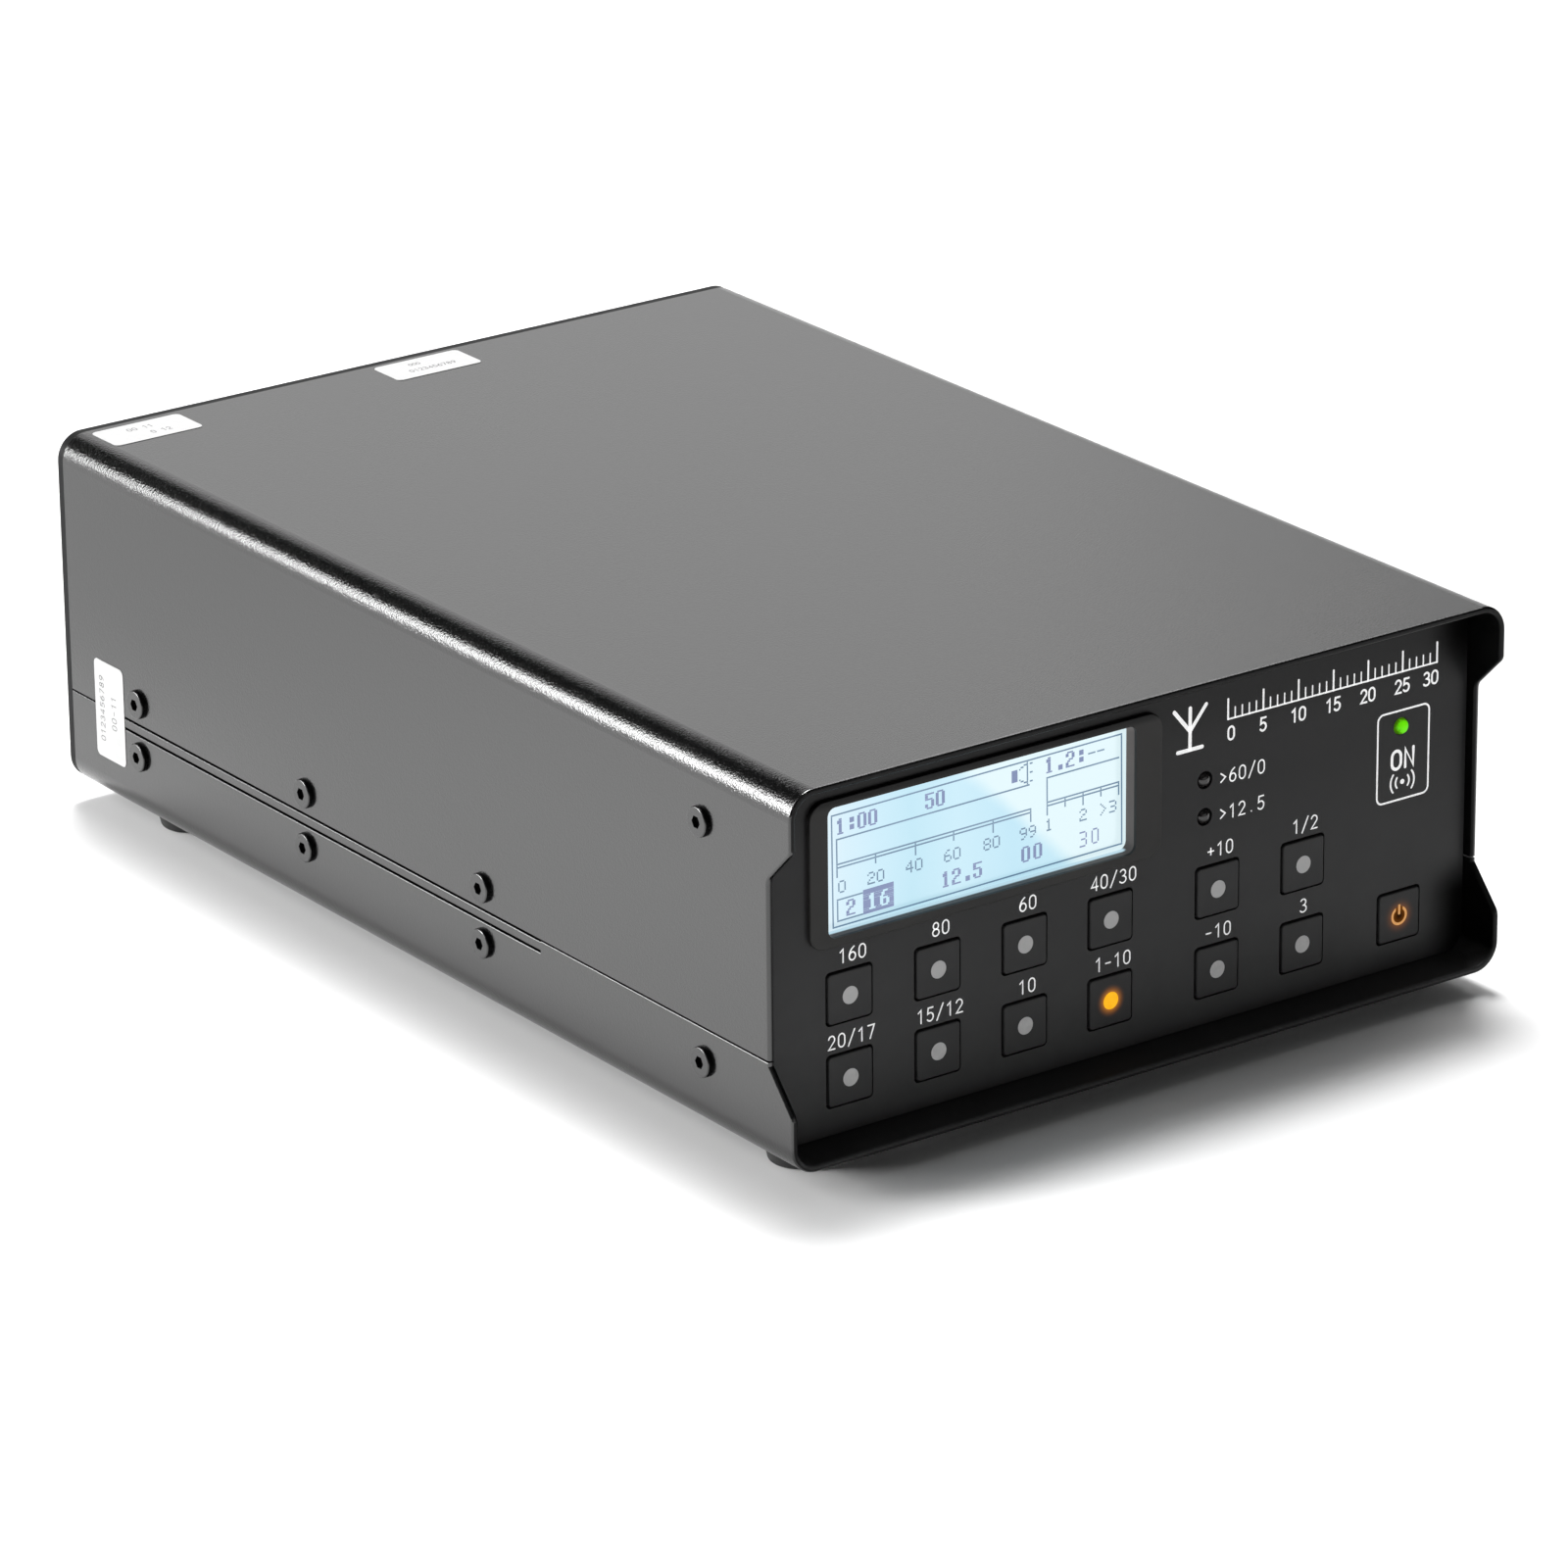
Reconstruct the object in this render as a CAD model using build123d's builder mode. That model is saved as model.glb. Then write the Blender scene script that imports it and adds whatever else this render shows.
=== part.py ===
"""HF linear amplifier: a sheet-metal case of two U covers round a finned heat
sink, with a recessed key panel at the front and a fan and socket plate behind.

Frame: +Z up, the key panel faces -Y, +X is to the right seen from the front.
Origin: bottom centre of the whole part.  Millimetres.
"""
from build123d import *
import math
import os

os.makedirs("parts", exist_ok=True)

# ------------------------------------------------------------ case
CASE_W = 150.0          # outer width over the covers
CASE_D = 226.0          # front rim to the outer face of the rear plate
CASE_H = 67.0           # height of the covers, feet not counted
FOOT_H = 4.0            # clear height under the case
REAR_REACH = 16.0       # how far the coaxial sockets stand out behind
SHEET = 1.2             # steel sheet of both covers
BEND_R = 5.0            # outer radius of the four long bends
RIM_R = 0.5             # rounding of the front rim, outside and inside
EDGE_R = 0.3            # rounding of the sheet's upper edges along the seam and the slit
SEAM_H = 18.5           # height of the side seam above the case bottom
SEAM_GAP = 0.3
REAR_T = 2.0            # rear plate
FIT = 0.05              # sheet to rear plate

# front hood: each side wall is cut back between two slopes
NOTCH_D = 6.4
NOTCH_TOP, NOTCH_TOP_IN = 56.6, 50.3
NOTCH_LOW_IN, NOTCH_LOW = 17.7, 10.4

# slit along the top edge of the bottom cover's side walls
SLIT_Y0, SLIT_Y1 = 72.3, 214.5
SLIT_H, SLIT_W = 16.4, 0.5

# ------------------------------------------------------------ front panel
PANEL_Y = 8.2           # depth of the panel face behind the rim
PANEL_T = 1.85
KEY_HOLE, KEY_HOLE_R = 9.6, 0.9
KEY_SIZE, KEY_R = 8.85, 0.7
KEY_PROUD = 0.35
KEY_TRAVEL = 0.4
KEY_FLANGE = 11.0
PIPE_R = 1.55           # round light window in each key
LEFT_KEYS_X = (-57.5, -39.5, -21.5, -3.5)
RIGHT_KEYS_X = (19.3, 37.8)
POWER_X = 59.2
ROW_Z = (25.5, 10.9)    # upper and lower row, above the case bottom
LED_R = 1.5
STATUS_LED_X, STATUS_LED_Z = 16.5, (45.7, 39.1)
TX_LED_X, TX_LED_Z = 59.1, 45.6

# display
BEZEL_X0, BEZEL_X1, BEZEL_Z0, BEZEL_Z1 = -65.8, 6.7, 34.8, 60.7
BEZEL_PROUD, BEZEL_R = 0.9, 3.0
WIN_X0, WIN_X1, WIN_Z0, WIN_Z1 = -62.2, 1.2, 36.5, 59.3
WIN_R = 1.5
CUT_MARGIN = 1.1        # wall of the bezel's sleeve round the window
LCD_Y = 10.1            # depth of the display glass behind the rim

# front board and switches
BOARD_Y, BOARD_T = 16.0, 1.6
SWITCH_Y = 12.5
STEM_R, SWITCH_BORE_R = 1.6, 1.68

# ------------------------------------------------------------ screws
M3_R, M3_HEAD_R, M3_HEAD_H, M3_HEX = 1.5, 2.7, 0.85, 2.0
SIDE_ROW_Y = (89.9, 145.5, 201.0)
UPPER_ROW_Z, LOWER_ROW_Z = 22.4, 12.25
FRONT_SCREW_Y, FRONT_SCREW_Z = 25.0, (54.8, 12.4)

# ------------------------------------------------------------ heat sink
SINK_Y0, SINK_Y1 = 62.0, 211.0
SINK_W = CASE_W - 2 * SHEET - 0.4
SINK_BASE_Z0, SINK_BASE_Z1 = 17.5, 23.5
RAIL_W, RAIL_Z0, RAIL_Z1, RAIL_TAIL_Z1 = 10.0, 7.5, 27.5, 22.6
FIN_TOP, FIN_T, FIN_N, FIN_PITCH = 61.0, 1.6, 20, 6.3

# ------------------------------------------------------------ rear
FAN, FAN_T, FAN_BORE_R, FAN_PITCH = 40.0, 10.0, 19.0, 32.0
FAN_X, FAN_Z = (-49.0, -7.0), 43.0
COAX_X, COAX_Z = 52.0, (50.0, 19.0)
COAX_FLANGE, COAX_PITCH, COAX_THREAD_R = 25.4, 18.1, 7.94
DC_X, DC_Z = -47.0, 12.3
JACK_X, JACK_Z = (-14.0, -1.0, 12.0), 12.0
GROUND_X, GROUND_Z = 27.5, 12.0
REAR_SCREWS = ((-69.0, 11.0), (-69.0, 20.0), (69.0, 11.0), (69.0, 20.0))

# ------------------------------------------------------------ feet
FOOT_X, FOOT_Y, FOOT_R = 64.0, (13.9, 203.0), 6.0

Y_FRONT = -(CASE_D + REAR_REACH) / 2


def yy(depth):
    """Distance behind the front rim -> Y."""
    return Y_FRONT + depth


def zz(height):
    """Height above the case bottom -> Z."""
    return FOOT_H + height


def facing(depth):
    """Sketch plane square to Y: local x = +X, local y = +Z, normal -Y."""
    return Plane.XZ.offset(-yy(depth))


def side(x):
    """Sketch plane square to X: local x = +Y, local y = +Z, normal +X."""
    return Plane.YZ.offset(x)


def level(height):
    return Plane.XY.offset(zz(height))


def edges_at(part, depth, height, tol=0.4):
    """Edges along X whose centre lies at this depth and height."""
    return ShapeList([e for e in part.edges().filter_by(Axis.X)
                      if abs(e.center().Y - yy(depth)) < tol
                      and abs(e.center().Z - zz(height)) < tol])


def rim_edges(part):
    """Edges between the skins of the sheet and its cut front edge."""
    found = ShapeList()
    for e in part.edges():
        size, mid = e.bounding_box().size, e.center()
        along_seam = abs(mid.Z - zz(SEAM_H)) < 0.3 and size.Z < 1e-3
        across = 1.0 < size.X < 1.3 and size.Z < 1e-3
        if e.bounding_box().max.Y < yy(NOTCH_D) + 0.01 and not along_seam and not across:
            found.append(e)
    return found


def save(builder, name):
    builder.part.label = name
    export_step(builder.part, f"parts/{name}.step")


# ============================================================ top cover
with BuildPart() as top_cover:
    with BuildSketch(facing(0)):
        with Locations((0, zz(CASE_H / 2))):
            RectangleRounded(CASE_W, CASE_H, BEND_R)
            RectangleRounded(CASE_W - 2 * SHEET, CASE_H - 2 * SHEET, BEND_R - SHEET, mode=Mode.SUBTRACT)
        with Locations((0, zz(SEAM_H + SEAM_GAP / 2 - 20))):
            Rectangle(CASE_W + 4, 40, mode=Mode.SUBTRACT)
    extrude(amount=-(CASE_D - REAR_T - FIT))
    # hood cut-back in both side walls
    with BuildSketch(side(-CASE_W / 2 - 2)):
        with BuildLine():
            Polyline((yy(-2), zz(NOTCH_TOP)), (yy(0), zz(NOTCH_TOP)), (yy(NOTCH_D), zz(NOTCH_TOP_IN)),
                     (yy(NOTCH_D), zz(SEAM_H - 4)), (yy(-2), zz(SEAM_H - 4)), close=True)
        make_face()
    extrude(amount=CASE_W + 4, mode=Mode.SUBTRACT)
    fillet(edges_at(top_cover, 0, NOTCH_TOP), 1.8)
    fillet(edges_at(top_cover, NOTCH_D, NOTCH_TOP_IN), 2.4)
    fillet(rim_edges(top_cover), RIM_R)
    # clearance holes for the side screws
    with BuildSketch(side(-CASE_W / 2 - 2)):
        with Locations(*[(yy(y), zz(UPPER_ROW_Z)) for y in SIDE_ROW_Y], (yy(FRONT_SCREW_Y), zz(FRONT_SCREW_Z[0]))):
            Circle(M3_R + 0.2)
    extrude(amount=CASE_W + 4, mode=Mode.SUBTRACT)
save(top_cover, "top_cover")

# ============================================================ bottom cover
with BuildPart() as bottom_cover:
    with BuildSketch(facing(0)):
        with Locations((0, zz(CASE_H / 2))):
            RectangleRounded(CASE_W, CASE_H, BEND_R)
            RectangleRounded(CASE_W - 2 * SHEET, CASE_H - 2 * SHEET, BEND_R - SHEET, mode=Mode.SUBTRACT)
        with Locations((0, zz(SEAM_H - SEAM_GAP / 2 + 40))):
            Rectangle(CASE_W + 4, 80, mode=Mode.SUBTRACT)
    extrude(amount=-(CASE_D - REAR_T - FIT))
    with BuildSketch(side(-CASE_W / 2 - 2)):
        with BuildLine():
            Polyline((yy(-2), zz(NOTCH_LOW)), (yy(0), zz(NOTCH_LOW)), (yy(NOTCH_D), zz(NOTCH_LOW_IN)),
                     (yy(NOTCH_D), zz(SEAM_H + 4)), (yy(-2), zz(SEAM_H + 4)), close=True)
        make_face()
    extrude(amount=CASE_W + 4, mode=Mode.SUBTRACT)
    fillet(edges_at(bottom_cover, 0, NOTCH_LOW), 2.4)
    fillet(rim_edges(bottom_cover), RIM_R)
    # the slit frees a narrow strip along the seam, and the strip is dropped a little
    with BuildSketch(side(-CASE_W / 2 - 2)):
        with Locations((yy((SLIT_Y0 + SLIT_Y1) / 2), zz(SLIT_H))):
            Rectangle(SLIT_Y1 - SLIT_Y0, SLIT_W)
        with Locations((yy((SLIT_Y0 + SLIT_Y1) / 2), zz(SEAM_H + 1.8))):
            Rectangle(SLIT_Y1 - SLIT_Y0, 4.0 + 0.2)
        with Locations(*[(yy(y), zz(LOWER_ROW_Z)) for y in SIDE_ROW_Y], (yy(FRONT_SCREW_Y), zz(FRONT_SCREW_Z[1]))):
            Circle(M3_R + 0.2)
    extrude(amount=CASE_W + 4, mode=Mode.SUBTRACT)
    # air slots, foot holes and spacer holes in the floor
    with BuildSketch(level(-1)):
        with Locations((0, yy(50))):
            with GridLocations(7.0, 1, 15, 1):
                SlotOverall(22, 2.6, rotation=90)
        with Locations((0, yy(160))):
            with GridLocations(7.0, 1, 15, 1):
                SlotOverall(30, 2.6, rotation=90)
        with Locations(*[(sx * FOOT_X, yy(y)) for sx in (-1, 1) for y in FOOT_Y]):
            Circle(2.0)
    extrude(amount=SHEET + 2, mode=Mode.SUBTRACT)
    # the coated upper edges along the seam and below the slit are a little round
    for y0, y1, h in ((NOTCH_D - 1, SLIT_Y0, SEAM_H - SEAM_GAP / 2), (SLIT_Y0, SLIT_Y1, SEAM_H - 0.3),
                      (SLIT_Y1, CASE_D, SEAM_H - SEAM_GAP / 2), (SLIT_Y0, SLIT_Y1, SLIT_H - SLIT_W / 2)):
        for sx in (-1, 1):
            wall, skin = sx * CASE_W / 2, sx * (CASE_W / 2 - EDGE_R)
            slant = EDGE_R * (1 - math.sqrt(0.5))
            with BuildSketch(facing(y0)):
                with BuildLine():
                    Polyline((skin, zz(h)), (skin, zz(h) + 0.1), (wall + sx * 0.1, zz(h) + 0.1), (wall + sx * 0.1, zz(h) - EDGE_R), (wall, zz(h) - EDGE_R))
                    ThreePointArc((wall, zz(h) - EDGE_R), (wall - sx * slant, zz(h) - slant), (skin, zz(h)))
                make_face()
            extrude(amount=-(y1 - y0), mode=Mode.SUBTRACT)
save(bottom_cover, "bottom_cover")

# ============================================================ front panel
KEYS = [(f"band_key_{i + 1}", x, ROW_Z[0]) for i, x in enumerate(LEFT_KEYS_X)]
KEYS += [(f"band_key_{i + 5}", x, ROW_Z[1]) for i, x in enumerate(LEFT_KEYS_X)]
KEYS += [("menu_key_1", RIGHT_KEYS_X[0], ROW_Z[0]), ("menu_key_2", RIGHT_KEYS_X[1], ROW_Z[0]),
         ("menu_key_3", RIGHT_KEYS_X[0], ROW_Z[1]), ("menu_key_4", RIGHT_KEYS_X[1], ROW_Z[1])]
KEYS += [("power_key", POWER_X, ROW_Z[1])]
WIN_CX, WIN_CZ = (WIN_X0 + WIN_X1) / 2, (WIN_Z0 + WIN_Z1) / 2
WIN_W, WIN_H = WIN_X1 - WIN_X0, WIN_Z1 - WIN_Z0
SPACERS_FRONT = ((-67.5, 18.5), (67.5, 18.5), (12.5, 60.5), (67.5, 60.5))

with BuildPart() as front_panel:
    with BuildSketch(facing(PANEL_Y + PANEL_T)):
        with Locations((0, zz(CASE_H / 2))):
            RectangleRounded(CASE_W - 2 * SHEET - 0.4, CASE_H - 2 * SHEET - 0.4, BEND_R - SHEET - 0.2)
        with Locations(*[(x, zz(z)) for _, x, z in KEYS]):
            RectangleRounded(KEY_HOLE, KEY_HOLE, KEY_HOLE_R, mode=Mode.SUBTRACT)
        with Locations(*[(STATUS_LED_X, zz(z)) for z in STATUS_LED_Z], (TX_LED_X, zz(TX_LED_Z))):
            Circle(LED_R + 0.1, mode=Mode.SUBTRACT)
        with Locations((WIN_CX, zz(WIN_CZ))):
            RectangleRounded(WIN_W + 2 * CUT_MARGIN + 0.2, WIN_H + 2 * CUT_MARGIN + 0.2, WIN_R + CUT_MARGIN, mode=Mode.SUBTRACT)
    extrude(amount=PANEL_T)
    # side returns that the front screws pull against
    for sx in (-1, 1):
        with Locations((sx * (CASE_W / 2 - SHEET - 0.2 - 0.8), yy(PANEL_Y + PANEL_T + 11), zz(34))):
            Box(1.6, 22, 52)
        with BuildSketch(side(sx * (CASE_W / 2 - SHEET - 0.2))):
            with Locations(*[(yy(FRONT_SCREW_Y), zz(z)) for z in FRONT_SCREW_Z]):
                Circle(3.6)
        extrude(amount=-sx * 6.0)
        with BuildSketch(side(sx * (CASE_W / 2 - SHEET))):
            with Locations(*[(yy(FRONT_SCREW_Y), zz(z)) for z in FRONT_SCREW_Z]):
                Circle(M3_R + 0.02)
        extrude(amount=-sx * 8.0, mode=Mode.SUBTRACT)
save(front_panel, "front_panel")

# ============================================================ display bezel
with BuildPart() as display_bezel:
    with BuildSketch(facing(PANEL_Y)):
        with Locations(((BEZEL_X0 + BEZEL_X1) / 2, zz((BEZEL_Z0 + BEZEL_Z1) / 2))):
            RectangleRounded(BEZEL_X1 - BEZEL_X0, BEZEL_Z1 - BEZEL_Z0, BEZEL_R)
    extrude(amount=BEZEL_PROUD)
    fillet(display_bezel.faces().sort_by(Axis.Y)[0].edges(), 0.25)
    # sleeve through the panel down to the glass
    with BuildSketch(facing(LCD_Y)):
        with Locations((WIN_CX, zz(WIN_CZ))):
            RectangleRounded(WIN_W + 2 * CUT_MARGIN, WIN_H + 2 * CUT_MARGIN, WIN_R + CUT_MARGIN - 0.1)
    extrude(amount=LCD_Y - PANEL_Y + 0.2)
    with BuildSketch(facing(LCD_Y + 1)):
        with Locations((WIN_CX, zz(WIN_CZ))):
            RectangleRounded(WIN_W, WIN_H, WIN_R)
    extrude(amount=6, mode=Mode.SUBTRACT)
save(display_bezel, "display_bezel")

# ============================================================ display module
# glass cell in front, metal frame with its own board behind it
LCD_X0, LCD_X1, LCD_Z0, LCD_Z1 = -65.0, 4.6, 33.2, 62.2
LCD_CX, LCD_CZ = (LCD_X0 + LCD_X1) / 2, (LCD_Z0 + LCD_Z1) / 2
with BuildPart() as lcd_module:
    with BuildSketch(facing(LCD_Y + 1.4)):
        with Locations((LCD_CX, zz(LCD_CZ))):
            RectangleRounded(LCD_X1 - LCD_X0, LCD_Z1 - LCD_Z0, 0.6)
    extrude(amount=1.4)
    with BuildSketch(facing(LCD_Y + 4.9)):
        with Locations((LCD_CX, zz(LCD_CZ))):
            RectangleRounded(LCD_X1 - LCD_X0 + 2.4, LCD_Z1 - LCD_Z0, 1.0)
    extrude(amount=3.4)
save(lcd_module, "lcd_module")

# ============================================================ front board
with BuildPart() as front_board:
    with BuildSketch(facing(BOARD_Y + BOARD_T)):
        with Locations((0, zz(34.0))):
            RectangleRounded(142.0, 58.0, 1.5)
        with Locations(*[(x, zz(z)) for x, z in SPACERS_FRONT]):
            Circle(M3_R + 0.1, mode=Mode.SUBTRACT)
    extrude(amount=BOARD_T)
    # processor, driver chips and header on the back of the board
    for x, z, w, h, t in ((10, 40, 14, 14, 1.4), (40, 30, 10, 10, 1.2), (-30, 26, 12, 6, 1.6), (50, 52, 26, 6, 6.0)):
        with BuildSketch(facing(BOARD_Y + BOARD_T)):
            with Locations((x, zz(z))):
                Rectangle(w, h)
        extrude(amount=-t)
save(front_board, "front_board")

# ============================================================ key switches
with BuildPart() as tact_switches:
    with BuildSketch(facing(BOARD_Y)):
        with Locations(*[(x, zz(z)) for _, x, z in KEYS]):
            RectangleRounded(6.0, 6.0, 0.5)
    extrude(amount=BOARD_Y - SWITCH_Y)
    with BuildSketch(facing(BOARD_Y - 1.1)):
        with Locations(*[(x, zz(z)) for _, x, z in KEYS]):
            Circle(SWITCH_BORE_R)
    extrude(amount=4, mode=Mode.SUBTRACT)
save(tact_switches, "tact_switches")

# ============================================================ keys
KEY_FACE = PANEL_Y - KEY_PROUD
FLANGE_Y = PANEL_Y + PANEL_T + 0.3
for name, x, z in KEYS:
    power = name == "power_key"
    with BuildPart() as keycap:
        with BuildSketch(facing(FLANGE_Y)):
            with Locations((x, zz(z))):
                RectangleRounded(KEY_SIZE, KEY_SIZE, KEY_R)
        extrude(amount=FLANGE_Y - KEY_FACE)
        fillet(keycap.faces().sort_by(Axis.Y)[0].edges(), 0.25)
        with BuildSketch(facing(FLANGE_Y + 1.0)):
            with Locations((x, zz(z))):
                RectangleRounded(KEY_FLANGE, KEY_FLANGE, KEY_R)
        extrude(amount=1.0)
        with BuildSketch(facing(BOARD_Y - 1.8)):
            with Locations((x, zz(z))):
                Circle(STEM_R)
        extrude(amount=BOARD_Y - 1.8 - FLANGE_Y - 0.5)
        if power:
            # ring with a gap at the top, and a bar through the gap
            with BuildSketch(facing(KEY_FACE + 1.2)):
                with Locations((x, zz(z))):
                    Circle(1.74)
                    Circle(1.26, mode=Mode.SUBTRACT)
                with Locations((x, zz(z + 1.5))):
                    Rectangle(1.5, 1.4, mode=Mode.SUBTRACT)
                with Locations((x, zz(z + 1.15))):
                    RectangleRounded(0.5, 1.9, 0.2)
            extrude(amount=3, mode=Mode.SUBTRACT)
        else:
            with BuildSketch(facing(KEY_FACE + 2.4)):
                with Locations((x, zz(z))):
                    Circle(PIPE_R + 0.01)
            extrude(amount=4, mode=Mode.SUBTRACT)
    save(keycap, name)
    with BuildPart() as window:
        if power:
            with BuildSketch(facing(KEY_FACE + 1.2)):
                with Locations((x, zz(z))):
                    Circle(1.73)
                    Circle(1.27, mode=Mode.SUBTRACT)
                with Locations((x, zz(z + 1.5))):
                    Rectangle(1.52, 1.4, mode=Mode.SUBTRACT)
                with Locations((x, zz(z + 1.15))):
                    RectangleRounded(0.48, 1.88, 0.19)
            extrude(amount=1.2)
        else:
            with BuildSketch(facing(KEY_FACE + 2.4)):
                with Locations((x, zz(z))):
                    Circle(PIPE_R)
            extrude(amount=2.4)
    save(window, "power_symbol" if power else name.replace("_key_", "_key_window_"))

# ============================================================ indicator diodes
# round 3 mm diodes: domed body, base collar and the spacer each stands on
for led_name, spots, sunk in (("status_leds", [(STATUS_LED_X, z) for z in STATUS_LED_Z], 1.0), ("transmit_led", [(TX_LED_X, TX_LED_Z)], 0.35)):
    with BuildPart() as diode:
        for x, z in spots:
            with BuildSketch(Plane(origin=(x, yy(0), zz(z)), x_dir=(1, 0, 0), z_dir=(0, 0, 1))):
                with BuildLine():
                    Polyline((0, BOARD_Y), (2.4, BOARD_Y), (2.4, 13.3), (1.95, 13.3), (1.95, 12.3), (LED_R, 12.3), (LED_R, PANEL_Y + sunk))
                    CenterArc((0, PANEL_Y + sunk), LED_R, -90, 90)
                    Line((0, PANEL_Y + sunk - LED_R), (0, BOARD_Y))
                make_face()
            revolve(axis=Axis((x, yy(0), zz(z)), (0, 1, 0)))
    save(diode, led_name)

# ============================================================ heat sink
with BuildPart() as heat_sink:
    with BuildSketch(facing(SINK_Y0)):
        with Locations((0, zz((SINK_BASE_Z0 + SINK_BASE_Z1) / 2))):
            Rectangle(SINK_W, SINK_BASE_Z1 - SINK_BASE_Z0)
        with Locations((0, zz((SINK_BASE_Z1 + FIN_TOP) / 2))):
            with GridLocations(FIN_PITCH, 1, FIN_N, 1):
                Rectangle(FIN_T, FIN_TOP - SINK_BASE_Z1)
    extrude(amount=-(SINK_Y1 - SINK_Y0))
    # side rails that both covers and the rear plate screw into
    with BuildSketch(facing(SINK_Y0)):
        with Locations(*[(sx * (SINK_W - RAIL_W) / 2, zz((RAIL_Z0 + RAIL_Z1) / 2)) for sx in (-1, 1)]):
            Rectangle(RAIL_W, RAIL_Z1 - RAIL_Z0)
    extrude(amount=-(SINK_Y1 - SINK_Y0))
    # behind the fins the rails run on, cut lower to clear the fans
    with BuildSketch(facing(SINK_Y1)):
        with Locations(*[(sx * (SINK_W - RAIL_W) / 2, zz((RAIL_Z0 + RAIL_TAIL_Z1) / 2)) for sx in (-1, 1)]):
            Rectangle(RAIL_W, RAIL_TAIL_Z1 - RAIL_Z0)
    extrude(amount=-(CASE_D - REAR_T - FIT - SINK_Y1))
    for sx in (-1, 1):
        with BuildSketch(side(sx * CASE_W / 2)):
            with Locations(*[(yy(y), zz(z)) for y in SIDE_ROW_Y for z in (UPPER_ROW_Z, LOWER_ROW_Z)]):
                Circle(M3_R + 0.02)
        extrude(amount=-sx * 8.6, mode=Mode.SUBTRACT)
    with BuildSketch(facing(CASE_D)):
        with Locations(*[(x, zz(z)) for x, z in REAR_SCREWS]):
            Circle(M3_R + 0.02)
    extrude(amount=9.0, mode=Mode.SUBTRACT)
    # tapped holes for the amplifier board
    with BuildSketch(level(SINK_BASE_Z0 - 1)):
        with Locations((0, yy(159.5))):
            with GridLocations(112, 86, 2, 2):
                Circle(M3_R + 0.02)
    extrude(amount=5, mode=Mode.SUBTRACT)
save(heat_sink, "heat_sink")

# ============================================================ amplifier board, under the heat sink
PA_Z0, PA_Z1 = 13.0, 14.6
with BuildPart() as pa_board:
    with BuildSketch(level(PA_Z0)):
        with Locations((0, yy(159.5))):
            Rectangle(120, 94)
            with GridLocations(112, 86, 2, 2):
                Circle(M3_R + 0.1, mode=Mode.SUBTRACT)
        with Locations((-18, yy(150)), (18, yy(150))):
            Rectangle(11.0, 21.0, mode=Mode.SUBTRACT)
    extrude(amount=PA_Z1 - PA_Z0)
    # chip capacitors, bias parts and the board connector, hanging down
    with BuildSketch(level(PA_Z0)):
        with Locations((-18, yy(133)), (18, yy(133)), (-18, yy(167)), (18, yy(167))):
            Rectangle(16, 6)
        with Locations((48, yy(150)), (-48, yy(170))):
            Rectangle(9, 12)
    extrude(amount=-2.5)
save(pa_board, "pa_board")

with BuildPart() as power_transistors:
    with BuildSketch(level(SINK_BASE_Z0)):
        with Locations((-18, yy(150)), (18, yy(150))):
            Rectangle(10.0, 20.0)
    extrude(amount=-1.6)
    with BuildSketch(level(SINK_BASE_Z0 - 1.6)):
        with Locations((-18, yy(150)), (18, yy(150))):
            Rectangle(9.6, 11.0)
    extrude(amount=-3.2)
save(power_transistors, "power_transistors")

with BuildPart() as rf_transformers:
    # ferrite tubes of the output and input transformers, axes along X
    for x, y, r, length in ((0, 184, 4.6, 26), (0, 193.4, 4.6, 26), (0, 120.5, 3.4, 13), (0, 127.5, 3.4, 13)):
        with BuildSketch(side(x - length / 2)):
            with Locations((yy(y), zz(PA_Z0 - r))):
                Circle(r - 0.02)
                Circle(r * 0.45, mode=Mode.SUBTRACT)
        extrude(amount=length)
save(rf_transformers, "rf_transformers")

# ============================================================ filter board, on the floor
FB_Z0, FB_Z1 = 5.2, 6.8
FB_CY, FB_W, FB_L = 65.0, 116.0, 82.0
with BuildPart() as filter_board:
    with BuildSketch(level(FB_Z0)):
        with Locations((0, yy(FB_CY))):
            Rectangle(FB_W, FB_L)
            with GridLocations(FB_W - 8, FB_L - 8, 2, 2):
                Circle(M3_R + 0.1, mode=Mode.SUBTRACT)
    extrude(amount=FB_Z1 - FB_Z0)
    with BuildSketch(level(FB_Z1)):
        with Locations((0, yy(FB_CY + 2))):
            with GridLocations(15.0, 50.0, 7, 2):
                Rectangle(10, 4)
    extrude(amount=3.0)
save(filter_board, "filter_board")

with BuildPart() as filter_coils:
    with BuildSketch(level(FB_Z1 + 0.02)):
        with Locations((0, yy(FB_CY + 2))):
            with GridLocations(15.0, 22.0, 7, 2):
                Circle(6.4)
                Circle(3.2, mode=Mode.SUBTRACT)
    extrude(amount=5.0)
    fillet(filter_coils.edges().filter_by(GeomType.CIRCLE), 1.2)
save(filter_coils, "filter_coils")

with BuildPart() as band_relays:
    with BuildSketch(level(FB_Z1 + 0.02)):
        with Locations(*[(x, yy(y)) for x in (-43, -29, -15, -1, 13, 27, 41) for y in (FB_CY - 34, FB_CY + 37)][:14]):
            Rectangle(10.2, 6.4)
    extrude(amount=8.4)
save(band_relays, "band_relays")

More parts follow.
